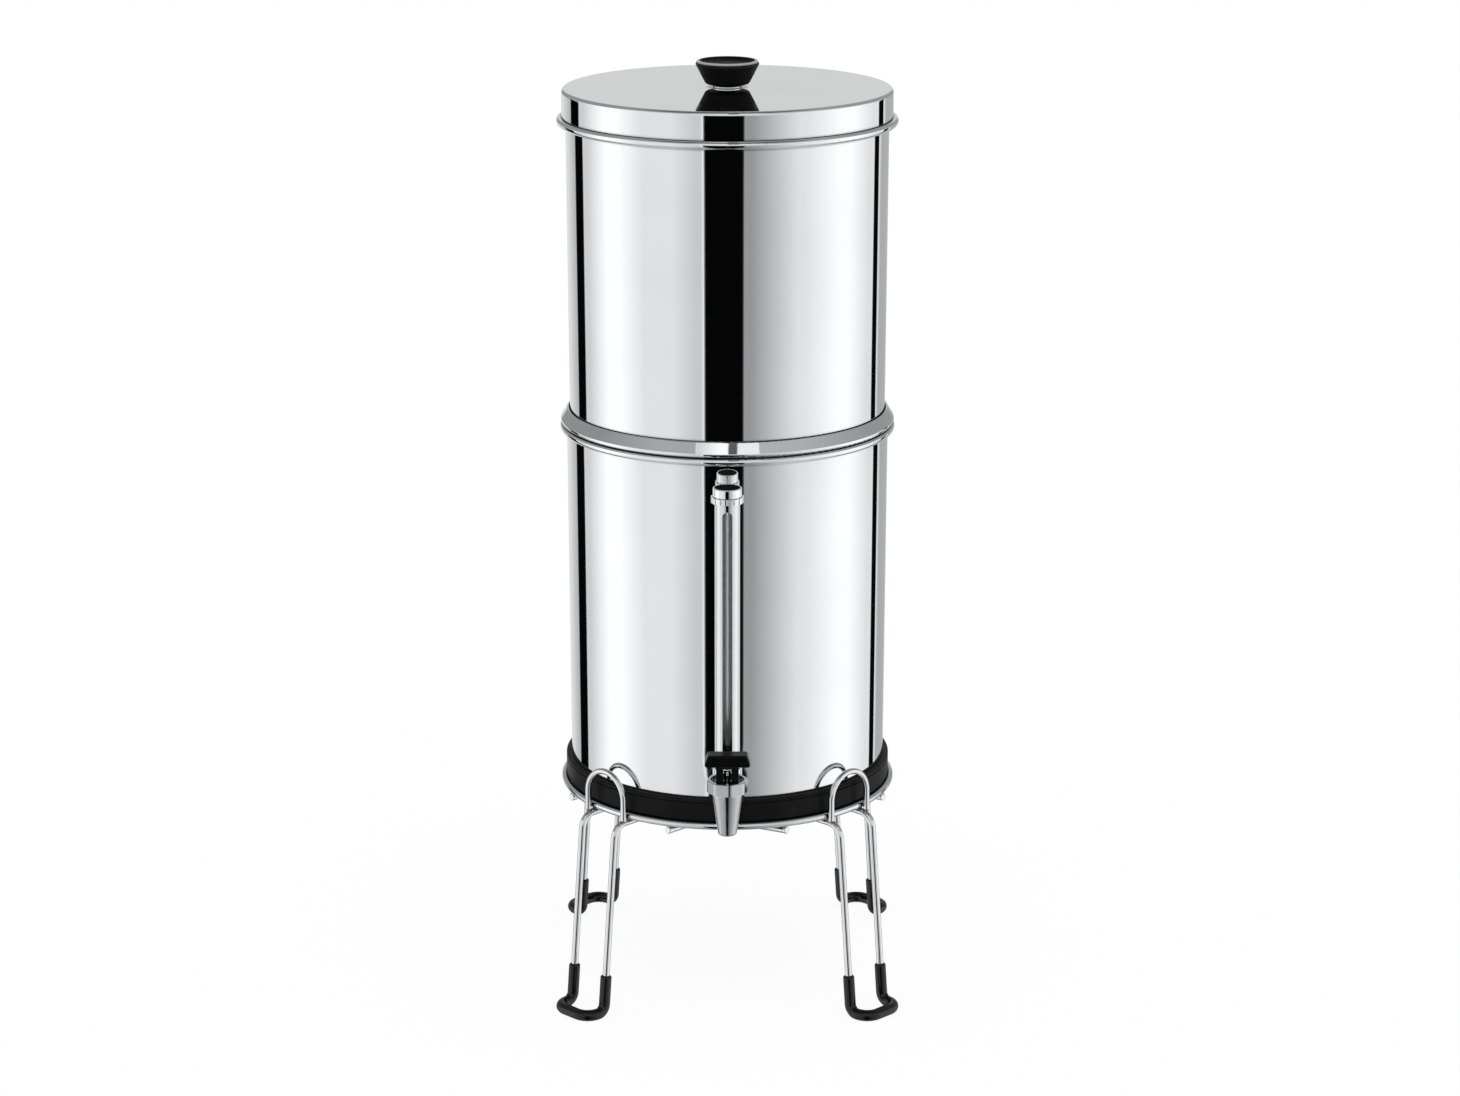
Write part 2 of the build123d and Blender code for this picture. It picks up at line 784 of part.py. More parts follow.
def stand_nodes():
    """Every node of the wire stand and its rubber feet."""
    nodes = {"stand_ring": stand_ring()}
    for name, (azimuth, dips) in legs.items():
        nodes["stand_leg_" + name] = stand_leg(azimuth, dips)
        nodes["stand_guard_" + name] = stand_guard(azimuth)
        nodes["foot_sleeve_" + name] = foot_sleeve(azimuth)
    for side, offset in (("a", -rod_offset), ("b", rod_offset)):
        nodes["stand_rod_straight_" + side] = stand_rod(45, offset, False)
        nodes["stand_rod_joggled_" + side] = stand_rod(135, offset, True)
    return nodes


def chamber_nodes():
    """The chambers, the lid and what is fixed to them."""
    nodes = {"base_ring": base_ring(), "lower_chamber": lower_chamber()}
    nodes["upper_chamber"] = upper_chamber()
    nodes["seating_collar"] = seating_collar()
    nodes["lid"] = lid()
    nodes["lid_knob"] = knob()
    nodes["knob_washer"] = knob_washer()
    nodes["knob_screw"] = knob_screw()
    return nodes


def filter_nodes():
    """The elements, the plugs and their fixings."""
    right, back, left, front = fixing_places()
    nodes = {}
    for name, place in (("left", left), ("right", right)):
        nodes["filter_element_" + name] = place * element_body()
        nodes["filter_base_" + name] = place * element_base()
    nodes["blanking_plug_front"] = front * blanking_plug()
    nodes["blanking_plug_back"] = back * blanking_plug()
    nodes["stem_gaskets"] = group([place * stem_gasket() for place in fixing_places()])
    nodes["wing_nuts"] = group([place * wing_nut() for place in fixing_places()])
    return nodes


def tap_nodes():
    """The tap, its valve and its fixings."""
    return {
        "tap_body": tap_body(),
        "tap_bonnet": bonnet(),
        "valve_stem": valve_stem(),
        "valve_seat_cup": seat_cup(),
        "lever_pin": lever_pin(),
        "tap_lever": tap_lever(),
        "shank_washer_outer": shank_washer_outer(),
        "shank_washer_middle": shank_washer_middle(),
        "shank_washer_inner": shank_washer_inner(),
        "shank_nut": shank_nut(),
    }


def gauge_nodes():
    """The sight gauge."""
    return {
        "gauge_base": gauge_base(),
        "gauge_seal": gauge_seal(),
        "gauge_glass": gauge_glass(),
        "gauge_sheath": gauge_sheath(),
        "gauge_collar": gauge_collar(),
        "gauge_cap": gauge_cap(),
        "gauge_vent_plug": vent_plug(),
    }


def main():
    """Build every node and write one file for each."""
    os.makedirs("parts", exist_ok=True)
    nodes = {**stand_nodes(), **chamber_nodes(), **filter_nodes(), **tap_nodes(), **gauge_nodes()}
    for name, shape in nodes.items():
        export_step(shape, os.path.join("parts", name + ".step"))


if __name__ == "__main__":
    main()
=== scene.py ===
"""Gravity water filter on a wire stand: finishes, bent wire, small parts and studio over the CAD frame."""

import logging
import math
from dataclasses import dataclass, field, replace
from enum import Enum

import bpy
from mathutils import Matrix, Vector


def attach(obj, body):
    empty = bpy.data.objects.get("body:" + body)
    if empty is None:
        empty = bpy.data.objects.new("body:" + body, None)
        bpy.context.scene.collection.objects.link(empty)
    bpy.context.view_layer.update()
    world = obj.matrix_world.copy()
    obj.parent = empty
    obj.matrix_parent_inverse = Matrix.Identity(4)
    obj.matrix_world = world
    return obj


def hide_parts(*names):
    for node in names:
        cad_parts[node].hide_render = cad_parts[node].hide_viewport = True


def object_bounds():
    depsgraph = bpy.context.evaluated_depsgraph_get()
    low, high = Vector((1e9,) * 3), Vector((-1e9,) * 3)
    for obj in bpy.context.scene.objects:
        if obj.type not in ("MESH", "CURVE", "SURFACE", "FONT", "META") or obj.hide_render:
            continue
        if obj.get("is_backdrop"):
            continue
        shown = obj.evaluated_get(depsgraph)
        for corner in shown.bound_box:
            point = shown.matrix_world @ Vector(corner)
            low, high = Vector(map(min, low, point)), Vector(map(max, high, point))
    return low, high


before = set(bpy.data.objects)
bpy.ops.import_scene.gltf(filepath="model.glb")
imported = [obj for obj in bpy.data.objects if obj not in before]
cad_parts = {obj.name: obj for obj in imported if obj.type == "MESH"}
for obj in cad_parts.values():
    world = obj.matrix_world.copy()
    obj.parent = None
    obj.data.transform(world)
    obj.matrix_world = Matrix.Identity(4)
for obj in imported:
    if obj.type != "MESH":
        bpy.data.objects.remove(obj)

LOG = logging.getLogger("water_filter")
MM = 0.001

Tree = bpy.types.NodeTree
Socket = bpy.types.NodeSocket
Point = tuple[float, float, float]
Pair = tuple[float, float]


# --- small tools -----------------------------------------------------------------------------


def linear(code: str) -> tuple[float, float, float, float]:
    """Turns an sRGB hex colour into linear values.

    Args:
        code: six hex digits after a hash sign.

    Returns:
        Red, green, blue and an alpha of one.
    """
    parts = [int(code[i : i + 2], 16) / 255 for i in (1, 3, 5)]
    red, green, blue = [p / 12.92 if p <= 0.04045 else ((p + 0.055) / 1.055) ** 2.4 for p in parts]
    return red, green, blue, 1.0


def grey(level: float) -> tuple[float, float, float, float]:
    """A linear grey of the given level."""
    return level, level, level, 1.0


def node(tree: Tree, kind: str, inputs: dict | None = None, **settings) -> bpy.types.Node:
    """Adds one node with its settings, constants and links.

    Args:
        tree: the node tree that receives it.
        kind: the node's type name.
        inputs: constant or output socket for each input, by name or by number.
        settings: properties of the node itself.

    Returns:
        The new node.
    """
    made = tree.nodes.new(kind)
    for name, value in settings.items():
        setattr(made, name, value)
    for key, value in (inputs or {}).items():
        if isinstance(value, Socket):
            tree.links.new(value, made.inputs[key])
        else:
            made.inputs[key].default_value = value
    return made


def math_node(tree: Tree, operation: str, *values: float | Socket) -> Socket:
    """One arithmetic step in a node tree.

    Args:
        tree: the node tree.
        operation: the step's name.
        values: its operands, constants or sockets.

    Returns:
        The socket that holds the result.
    """
    return node(tree, "ShaderNodeMath", dict(enumerate(values)), operation=operation).outputs[0]


def vector_node(tree: Tree, operation: str, *values: Point | Socket) -> Socket:
    """One vector step in a node tree.

    Args:
        tree: the node tree.
        operation: the step's name.
        values: its operands, constants or sockets.

    Returns:
        The resulting vector, or the number that a dot product or a length gives.
    """
    made = node(tree, "ShaderNodeVectorMath", dict(enumerate(values)), operation=operation)
    return made.outputs["Value" if operation in ("DOT_PRODUCT", "LENGTH") else "Vector"]


def scaled(tree: Tree, vector: Socket, factor: Socket) -> Socket:
    """A vector or colour times a number."""
    return node(tree, "ShaderNodeVectorMath", {0: vector, 3: factor}, operation="SCALE").outputs[0]


def split(tree: Tree, vector: Socket) -> bpy.types.NodeOutputs:
    """A vector's three components."""
    return node(tree, "ShaderNodeSeparateXYZ", {0: vector}).outputs


def joined(tree: Tree, *parts: float | Socket) -> Socket:
    """A vector from its components, of which missing ones are zero."""
    return node(tree, "ShaderNodeCombineXYZ", dict(enumerate(parts))).outputs[0]


def ranged(
    tree: Tree,
    value: Socket,
    start: float,
    end: float,
    low: float = 0.0,
    high: float = 1.0,
    kind: str = "LINEAR",
) -> Socket:
    """A value moved from one range to another and held at its ends.

    Args:
        tree: the node tree.
        value: the value.
        start: where its own range starts.
        end: where its own range ends.
        low: the result at the start.
        high: the result at the end.
        kind: how the result runs between the two.

    Returns:
        The socket that holds the result.
    """
    inputs = {"Value": value, "From Min": start, "From Max": end, "To Min": low, "To Max": high}
    return node(tree, "ShaderNodeMapRange", inputs, interpolation_type=kind).outputs[0]


def placed(name: str, mesh: bpy.types.Mesh, body: str, stands_for: tuple[str, ...] = ()) -> None:
    """Puts a finished mesh into the scene as one piece of the object.

    Args:
        name: the piece's name.
        mesh: its mesh, already in place in the shared frame.
        body: the CAD body that it rides on.
        stands_for: the CAD nodes that it is shown instead of.
    """
    piece = bpy.data.objects.new(name, mesh)
    bpy.context.scene.collection.objects.link(piece)
    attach(piece, body)
    if stands_for:
        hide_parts(*stands_for)
    LOG.info("piece %s: %d faces on %s", name, len(mesh.polygons), body)


# --- finishes --------------------------------------------------------------------------------

# Noise between these two values fades a patch in, for colour and for roughness.
PATCH_RANGE: Pair = (0.35, 0.75)
ROUGH_RANGE: Pair = (0.45, 1.05)
PATCH_DETAIL, GRAIN_DETAIL = 3.0, 2.0
# How much the grain counts beside the patches in the roughness.
GRAIN_SHARE = 0.5
# Cosine between the sharp and the bevelled normal where edge wear starts, and where it is full; on the knob
# this edge colour is a painted highlight.
EDGE_RANGE: Pair = (0.995, 0.9)
# Ambient occlusion's value deep in a joint, and where the joint ends: between them the colour is darkened
# as painted shade.
JOINT_RANGE: Pair = (0.56, 0.82)
# Height over which the painted highlight on the knob's rim fades in.
RUB_FADE_MM = 0.6
# Die lines are stretched along the wire by the inverse of this.
DIE_SQUEEZE = 0.03
# Cosine to the way out from the axis below which a face looks inwards.
INWARD_COSINE = -0.3
# Cosine to the roll's normal above which a face belongs to the roll.
ROLL_COSINE = 0.8


class Lay(Enum):
    """How a finish's fine grain runs over the piece."""

    EVEN = "even"
    TURNED = "turned"
    DRAWN = "drawn"


@dataclass(frozen=True)
class Roll:
    """A rolled edge round the object's axis: a torus with flats, in millimetres.

    The roll's centre line has centre_mm as its radius and runs from low_mm up to high_mm. The roll is what
    lies outside inside_mm and between floor_mm and roof_mm.
    """

    centre_mm: float
    low_mm: float
    high_mm: float
    inside_mm: float
    floor_mm: float
    roof_mm: float


@dataclass(frozen=True)
class Finish:
    """A real material and the way its surface was made, as one procedural shader.

    Lengths are in millimetres. The wave is the slow unevenness of a pressed or moulded surface, the grain
    its fine marks. Worn edges are found with a bevel of edge_mm; on the knob their lighter colour is a
    painted highlight. Joints narrower than the crevice width are painted darker, down to the crevice level
    of the colour: painted shade where little light gets in. Inside bore_mm of the axis the surface is left
    dull. Above the highlight height the colour turns to the worn colour: a painted highlight along the
    knob's rim. On a rolled edge the normal comes from the roll itself, so that its few facets don't
    glitter. A lined piece is as dull as a bore on every face that looks at its axis.
    """

    name: str
    colour: str
    worn: str
    metallic: float = 0.0
    roughness: float = 0.3
    spread: float = 0.05
    patch_mm: float = 30.0
    wave_mm: float = 0.0
    grain_mm: float = 1.0
    relief_mm: float = 0.0
    lay: Lay = Lay.EVEN
    centre_mm: Point = (0.0, 0.0, 0.0)
    edge_mm: float = 0.6
    edge_wear: float = 0.5
    specular: float = 0.5
    transmission: float = 0.0
    ior: float = 1.5
    drift: float = 0.3
    joint_mm: float = 2.5
    joint_level: float = 1.0
    bore_mm: float = 0.0
    bore_roughness: float = 0.6
    rub_mm: float = 0.0
    roll: Roll | None = None
    lined: bool = False

    def material(self) -> bpy.types.Material:
        """Builds the shader once and returns it."""
        found = bpy.data.materials.get(self.name)
        if found:
            return found
        made = bpy.data.materials.new(self.name)
        made.use_nodes = True
        tree = made.node_tree
        tree.nodes.clear()
        place = self._place(tree)
        patch = self._noise(tree, place, self.patch_mm, PATCH_DETAIL)
        grain = self._noise(tree, self._grain_place(tree, place), self.grain_mm, GRAIN_DETAIL)
        wear = self._wear(tree, place)
        inputs = {
            "Base Color": self._joints(tree, self._colour(tree, patch, wear)),
            "Metallic": self.metallic,
            "Roughness": self._bore(tree, place, self._roughness(tree, patch, grain, wear)),
            "Specular IOR Level": self.specular,
            "Transmission Weight": self.transmission,
            "Normal": self._bump(tree, patch, grain, self._rolled(tree, place)),
        }
        # Metal keeps the shader's own IOR.
        if not self.metallic:
            inputs["IOR"] = self.ior
        shader = node(tree, "ShaderNodeBsdfPrincipled", inputs)
        node(tree, "ShaderNodeOutputMaterial", {"Surface": shader.outputs[0]})
        return made

    def _place(self, tree: Tree) -> Socket:
        """Object coordinates, centred on the piece's own axis."""
        where = node(tree, "ShaderNodeTexCoord").outputs["Object"]
        inputs = {"Vector": where, "Location": [-c * MM for c in self.centre_mm]}
        return node(tree, "ShaderNodeMapping", inputs, vector_type="POINT").outputs[0]

    def _around(self, tree: Tree, place: Socket) -> tuple[Socket, Socket]:
        """The way out from the axis at a place, and how far out it is."""
        flat = vector_node(tree, "MULTIPLY", place, (1, 1, 0))
        return vector_node(tree, "NORMALIZE", flat), vector_node(tree, "LENGTH", flat)

    def _grain_place(self, tree: Tree, place: Socket) -> Socket:
        """Coordinates that lay the grain round an axis, along a wire, or evenly."""
        if self.lay is Lay.EVEN:
            return place
        if self.lay is Lay.DRAWN:
            wire = node(tree, "ShaderNodeAttribute", attribute_name="wire_lay").outputs["Vector"]
            return vector_node(tree, "MULTIPLY", wire, (1, DIE_SQUEEZE, 1))
        across, along, level = split(tree, place)
        radius = self._around(tree, place)[1]
        # One turn counts as little as a few grains, so that the lines run round the axis and fade slowly.
        drift = math_node(tree, "MULTIPLY", math_node(tree, "ARCTAN2", along, across), self.grain_mm * MM)
        return joined(tree, radius, drift, level)

    def _noise(self, tree: Tree, place: Socket, size_mm: float, detail: float) -> Socket:
        """Noise from zero to one whose marks have a real size.

        Args:
            tree: the material's tree.
            place: the coordinates.
            size_mm: the size of one mark.
            detail: how many finer layers it has.

        Returns:
            The noise.
        """
        inputs = {"Vector": place, "Scale": 1 / (size_mm * MM), "Detail": detail, "Roughness": 0.5}
        return node(tree, "ShaderNodeTexNoise", inputs).outputs[0]

    def _wear(self, tree: Tree, place: Socket) -> Socket:
        """A mask of worn sharp outer edges, which on the knob are a painted highlight, and of the band on
        top where a highlight is painted.
        """
        sharp = node(tree, "ShaderNodeNewGeometry").outputs["Normal"]
        soft = node(tree, "ShaderNodeBevel", {"Radius": self.edge_mm * MM}, samples=4).outputs[0]
        facing = vector_node(tree, "DOT_PRODUCT", sharp, soft)
        edges = ranged(tree, facing, *EDGE_RANGE, high=self.edge_wear)
        if not self.rub_mm:
            return edges
        # Painted highlight: above this height, outside the bore, the colour turns to the worn colour.
        low = self.rub_mm * MM
        rubbed = ranged(tree, split(tree, place)[2], low, low + RUB_FADE_MM * MM)
        outside = math_node(tree, "SUBTRACT", 1.0, self._inside(tree, place))
        return math_node(tree, "MAXIMUM", edges, math_node(tree, "MULTIPLY", rubbed, outside))

    def _colour(self, tree: Tree, patch: Socket, wear: Socket) -> Socket:
        """The base colour, drifting a little in patches and turning to the worn colour on worn edges and on
        painted highlights.
        """
        drift = ranged(tree, patch, *PATCH_RANGE, high=self.drift)
        share = math_node(tree, "MAXIMUM", drift, wear)
        inputs = {0: share, 6: linear(self.colour), 7: linear(self.worn)}
        return node(tree, "ShaderNodeMix", inputs, data_type="RGBA").outputs[2]

    def _roughness(self, tree: Tree, patch: Socket, grain: Socket, wear: Socket) -> Socket:
        """Roughness that varies in patches and with the grain, and rises on worn edges and painted
        highlights.
        """
        mixed = math_node(tree, "ADD", patch, math_node(tree, "MULTIPLY", grain, GRAIN_SHARE))
        low, high = max(self.roughness - self.spread, 0.0), self.roughness + self.spread
        varied = ranged(tree, mixed, *ROUGH_RANGE, low, high)
        return math_node(tree, "ADD", varied, math_node(tree, "MULTIPLY", wear, self.spread))

    def _joints(self, tree: Tree, colour: Socket) -> Socket:
        """The colour with painted shade: darker in narrow joints."""
        if self.joint_level >= 1:
            return colour
        # Painted shade: ambient occlusion scales the colour down where other surfaces lie close.
        inputs = {"Distance": self.joint_mm * MM}
        open_share = node(tree, "ShaderNodeAmbientOcclusion", inputs, samples=8).outputs["AO"]
        return scaled(tree, colour, ranged(tree, open_share, *JOINT_RANGE, low=self.joint_level))

    def _bore(self, tree: Tree, place: Socket, roughness: Socket) -> Socket:
        """The roughness, dull inside a bore or a lined piece."""
        if not self.bore_mm:
            return roughness
        dull = math_node(tree, "MULTIPLY", self._inside(tree, place), self.bore_roughness)
        return math_node(tree, "MAXIMUM", roughness, dull)

    def _inside(self, tree: Tree, place: Socket) -> Socket:
        """One in the bore and on a lined piece's inward faces, zero elsewhere."""
        outward, radius = self._around(tree, place)
        inside = math_node(tree, "LESS_THAN", radius, self.bore_mm * MM)
        if not self.lined:
            return inside
        true = node(tree, "ShaderNodeNewGeometry").outputs["True Normal"]
        facing = vector_node(tree, "DOT_PRODUCT", outward, self._moved(tree, true, "WORLD", "OBJECT"))
        inwards = math_node(tree, "LESS_THAN", facing, INWARD_COSINE)
        return math_node(tree, "MAXIMUM", inside, inwards)

    def _moved(self, tree: Tree, normal: Socket, source: str, target: str) -> Socket:
        """A normal taken from one space to another."""
        how = {"vector_type": "NORMAL", "convert_from": source, "convert_to": target}
        return node(tree, "ShaderNodeVectorTransform", {0: normal}, **how).outputs[0]

    def _bump(self, tree: Tree, patch: Socket, grain: Socket, normal: Socket) -> Socket:
        """The surface's slow wave and fine relief, both as real heights on the given normal."""
        wave = math_node(tree, "MULTIPLY", patch, self.wave_mm * MM)
        height = math_node(tree, "MULTIPLY_ADD", grain, self.relief_mm * MM, wave)
        relief = {"Height": height, "Distance": 1.0, "Normal": normal}
        return node(tree, "ShaderNodeBump", relief).outputs[0]

    def _rolled(self, tree: Tree, place: Socket) -> Socket:
        """The mesh's own normal, and on the rolled edge the one of the true roll."""
        plain = node(tree, "ShaderNodeNewGeometry").outputs
        if self.roll is None:
            return plain["Normal"]
        roll = self.roll
        level = split(tree, place)[2]
        outward, radius = self._around(tree, place)
        out = math_node(tree, "MAXIMUM", math_node(tree, "SUBTRACT", radius, roll.centre_mm * MM), 0.0)
        nearest = math_node(tree, "MAXIMUM", level, roll.low_mm * MM)
        nearest = math_node(tree, "MINIMUM", nearest, roll.high_mm * MM)
        up = joined(tree, 0.0, 0.0, math_node(tree, "SUBTRACT", level, nearest))
        true = vector_node(tree, "ADD", scaled(tree, outward, out), up)
        true = self._moved(tree, true, "OBJECT", "WORLD")
        facing = vector_node(tree, "DOT_PRODUCT", true, plain["True Normal"])
        true = scaled(tree, true, math_node(tree, "SIGN", facing))
        # Where the sheet's cut end faces along the roll, the mesh's own normal holds.
        within = math_node(tree, "GREATER_THAN", math_node(tree, "ABSOLUTE", facing), ROLL_COSINE)
        for test, value, bound in (
            ("GREATER_THAN", radius, roll.inside_mm),
            ("GREATER_THAN", level, roll.floor_mm),
            ("LESS_THAN", level, roll.roof_mm),
        ):
            within = math_node(tree, "MULTIPLY", within, math_node(tree, test, value, bound * MM))
        inputs = {0: within, 4: plain["Normal"], 5: true}
        return node(tree, "ShaderNodeMix", inputs, data_type="VECTOR").outputs[1]


# Stainless sheet, drawn and buffed to a mirror: crisp reflections of the studio, faint turned lines.
# The pots' insides are left satin, as nobody buffs them, and look soft grey.
# Buffing lines are hundredths of a millimetre wide, and are drawn 1.4 mm wide so that they can show at all.
# Its narrow joints are painted darker, nearly to black: painted shade.
MIRROR_STEEL = Finish(
    "stainless_buffed_mirror", "#EAEBEC", "#D6D8DA", metallic=1.0, roughness=0.034, spread=0.008,
    patch_mm=70.0, wave_mm=0.004, grain_mm=1.4, relief_mm=0.00006, lay=Lay.TURNED, edge_mm=0.5,
    joint_mm=3.0, joint_level=0.05, bore_mm=104.0, bore_roughness=0.42, lined=True,
)
# The same buffed sheet where the upper chamber's bead is rolled into its wall.
BEADED_STEEL = replace(
    MIRROR_STEEL, name="stainless_buffed_bead",
    roll=Roll(110.376, 590.604, 590.956, 107.62, 588.15, 593.41),
)
# The same buffed sheet where the lid's top is drawn over into its skirt.
LID_STEEL = replace(
    MIRROR_STEEL, name="stainless_buffed_lid", roll=Roll(106.8, 596.0, 609.38, 104.0, 596.0, 613.0),
    bore_mm=0.0, lined=False,
)
# Stainless wire, cold drawn and tumbled bright: soft long highlights, die lines along the wire.
# Die lines are finer than a tenth of a millimetre, and are drawn 0.7 mm wide so that they show.
# Where it meets other wire its colour is painted darker: painted shade.
BRIGHT_WIRE = Finish(
    "stainless_drawn_wire", "#DEDFE1", "#C6C8CA", metallic=1.0, roughness=0.11, spread=0.03, patch_mm=12.0,
    wave_mm=0.002, grain_mm=0.7, relief_mm=0.0012, lay=Lay.DRAWN, edge_mm=0.3, joint_level=0.3,
)
# Weld nuggets cleaned by pickling: duller and a little rough beside the wire.
WELD = replace(
    BRIGHT_WIRE, name="stainless_pickled_weld", colour="#B9BABC", roughness=0.38, spread=0.1, lay=Lay.EVEN,
)
# Turned stainless tap, satin from the lathe and lightly buffed: greyer and softer than the pots.
# Narrow joints on the tap are painted darker: painted shade.
SATIN_STEEL = Finish(
    "stainless_turned_satin", "#B9BABD", "#D2D4D6", metallic=1.0, roughness=0.17, spread=0.03, patch_mm=9.0,
    wave_mm=0.002, grain_mm=0.8, relief_mm=0.0008, lay=Lay.TURNED, centre_mm=(0.0, -160.0, 0.0),
    edge_mm=0.4, edge_wear=0.7, joint_mm=1.5, joint_level=0.25,
)
# Bright chromium plate on brass: whiter and sharper than the steel, with a hint of lacquered edge.
# Narrow joints on the plate are painted darker: painted shade.
CHROME = Finish(
    "chromium_plate_bright", "#EEF0F2", "#D9DCDF", metallic=1.0, roughness=0.07, spread=0.015,
    patch_mm=14.0, wave_mm=0.002, grain_mm=0.9, relief_mm=0.0002, lay=Lay.TURNED,
    centre_mm=(0.0, -127.0, 0.0), edge_mm=0.35, joint_mm=1.5, joint_level=0.2,
)
# The same plate on the sight gauge's sheath, whose bore the plating bath barely reached: dull inside.
SHEATH_CHROME = replace(
    CHROME, name="chromium_plate_sheath", colour="#DADBDD", roughness=0.12, bore_mm=7.5,
    bore_roughness=0.35,
)
# Moulded EPDM rubber: near black, dull, with a fine mould texture that only softens the sheen.
RUBBER = Finish(
    "epdm_rubber_moulded", "#0D0D0E", "#262627", roughness=0.42, spread=0.06, patch_mm=16.0, wave_mm=0.01,
    grain_mm=1.1, relief_mm=0.004, edge_mm=0.7, edge_wear=0.4, specular=0.08, ior=1.52,
)
# The same rubber pressed into the gauge's cap as a vent plug: matt all over, so it stays black at a glance.
PLUG_RUBBER = replace(RUBBER, name="epdm_rubber_matt_plug", roughness=0.85, specular=0.02)
# Soft PVC dip over the feet: black and glossy, pooled a little thicker in places.
DIPPED_VINYL = Finish(
    "pvc_dip_glossy", "#060607", "#161617", roughness=0.14, spread=0.04, patch_mm=8.0, wave_mm=0.02,
    grain_mm=1.5, relief_mm=0.001, edge_mm=0.5, specular=0.35, ior=1.53,
)
# Phenolic knob, moulded and buffed: deep black with a clear sheen, and a painted highlight in light grey on
# its edges and along the top of its rim.
PHENOLIC = Finish(
    "phenolic_moulded_gloss", "#060607", "#A6A6A9", roughness=0.24, spread=0.05, patch_mm=11.0,
    wave_mm=0.004, grain_mm=0.9, relief_mm=0.0008, edge_mm=0.7, edge_wear=0.9, specular=0.07, ior=1.6,
    drift=0.01, bore_mm=18.4, bore_roughness=0.5, rub_mm=628.4,
)
# Injection-moulded ABS lever: black, a shade softer than the knob, edges rubbed grey by fingers.
MOULDED_ABS = replace(
    PHENOLIC, name="abs_moulded_black", colour="#080809", worn="#3A3A3C", roughness=0.3, edge_mm=0.5,
    ior=1.54, drift=0.05, bore_mm=0.0, rub_mm=0.0,
)
# Extruded acrylic tube: clear, faintly wavy along its length.
ACRYLIC = Finish(
    "acrylic_extruded_clear", "#FFFFFF", "#FAFCFC", roughness=0.03, spread=0.01, patch_mm=6.0,
    wave_mm=0.002, grain_mm=0.8, relief_mm=0.0002, edge_wear=0.2, transmission=1.0, ior=1.49,
)
# Pressed carbon block under a black net sleeve: matt, with an even open grain.
CARBON_BLOCK = Finish(
    "carbon_block_pressed", "#161617", "#333334", roughness=0.75, spread=0.12, patch_mm=14.0, wave_mm=0.03,
    grain_mm=1.6, relief_mm=0.08, edge_mm=1.0, specular=0.3,
)
# Moulded polypropylene fittings: mid grey, waxy.
POLYPROPYLENE = Finish(
    "polypropylene_moulded_grey", "#8C9094", "#A9ADB0", roughness=0.42, spread=0.07, patch_mm=12.0,
    wave_mm=0.01, grain_mm=1.0, relief_mm=0.003, ior=1.49,
)
# Food-grade silicone washers: milky, dull, slightly translucent to the eye.
SILICONE = Finish(
    "silicone_cured_milky", "#C9CBC8", "#E2E3E0", roughness=0.5, spread=0.08, patch_mm=7.0, wave_mm=0.008,
    grain_mm=0.9, relief_mm=0.004, specular=0.4, ior=1.41,
)


def dress(finish: Finish, *names: str) -> None:
    """Gives CAD nodes a finish without touching their meshes.

    Args:
        finish: the finish.
        names: the nodes.
    """
    for name in names:
        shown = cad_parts[name]
        if not shown.data.materials:
            shown.data.materials.append(None)
        for place in shown.material_slots:
            place.material = finish.material()
        LOG.info("node %s: %s", name, finish.name)


# --- Geometry Nodes --------------------------------------------------------------------------


def begun(name: str, sockets: dict[str, str]) -> tuple[Tree, bpy.types.NodeOutputs]:
    """Starts a Geometry Nodes tree with named inputs and one geometry output.

    Args:
        name: the tree's name.
        sockets: the kind of each input, by its name.

    Returns:
        The tree, and its inputs as they are given inside.
    """
    tree = bpy.data.node_groups.new(name, "GeometryNodeTree")
    for label, kind in sockets.items():
        tree.interface.new_socket(label, in_out="INPUT", socket_type="NodeSocket" + kind)
    tree.interface.new_socket("Geometry", in_out="OUTPUT", socket_type="NodeSocketGeometry")
    return tree, tree.nodes.new("NodeGroupInput").outputs


def ended(tree: Tree, geometry: Socket, material: Socket, smooth: bool = True) -> None:
    """Ends a tree: real geometry, its shading, one material and the output.

    Args:
        tree: the tree.
        geometry: what it has made.
        material: the material's socket.
        smooth: whether its faces are shaded smooth.
    """
    real = node(tree, "GeometryNodeRealizeInstances", {"Geometry": geometry}).outputs[0]
    shading = {"Geometry": real, "Shade Smooth": smooth}
    shaded = node(tree, "GeometryNodeSetShadeSmooth", shading).outputs[0]
    inputs = {"Geometry": shaded, "Material": material}
    node(tree, "NodeGroupOutput", {0: node(tree, "GeometryNodeSetMaterial", inputs).outputs[0]})


def stored(tree: Tree, geometry: Socket, name: str, value: Socket, kind: str = "FLOAT") -> Socket:
    """Geometry whose points keep a value under a name.

    Args:
        tree: the tree.
        geometry: the geometry.
        name: the attribute's name.
        value: the value on each point.
        kind: the attribute's data type.

    Returns:
        The geometry with the attribute.
    """
    inputs = {"Geometry": geometry, "Name": name, "Value": value}
    made = node(tree, "GeometryNodeStoreNamedAttribute", inputs, data_type=kind, domain="POINT")
    return made.outputs[0]


def recalled(tree: Tree, name: str) -> Socket:
    """A number that the geometry's points keep under a name."""
    return node(tree, "GeometryNodeInputNamedAttribute", {"Name": name}, data_type="FLOAT").outputs[0]


def circle(tree: Tree, sides: int | Socket, radius: Socket) -> Socket:
    """A round profile to sweep along a line."""
    inputs = {"Resolution": sides, "Radius": radius}
    return node(tree, "GeometryNodeCurvePrimitiveCircle", inputs, mode="RADIUS").outputs["Curve"]


def host_mesh(name: str, points: list[Point | Vector], edges: list[tuple[int, int]]) -> bpy.types.Mesh:
    """A mesh of bare points and edges, given in millimetres, that a tree starts from."""
    host = bpy.data.meshes.new(name)
    host.from_pydata([Vector(p) * MM for p in points], edges, [])
    return host


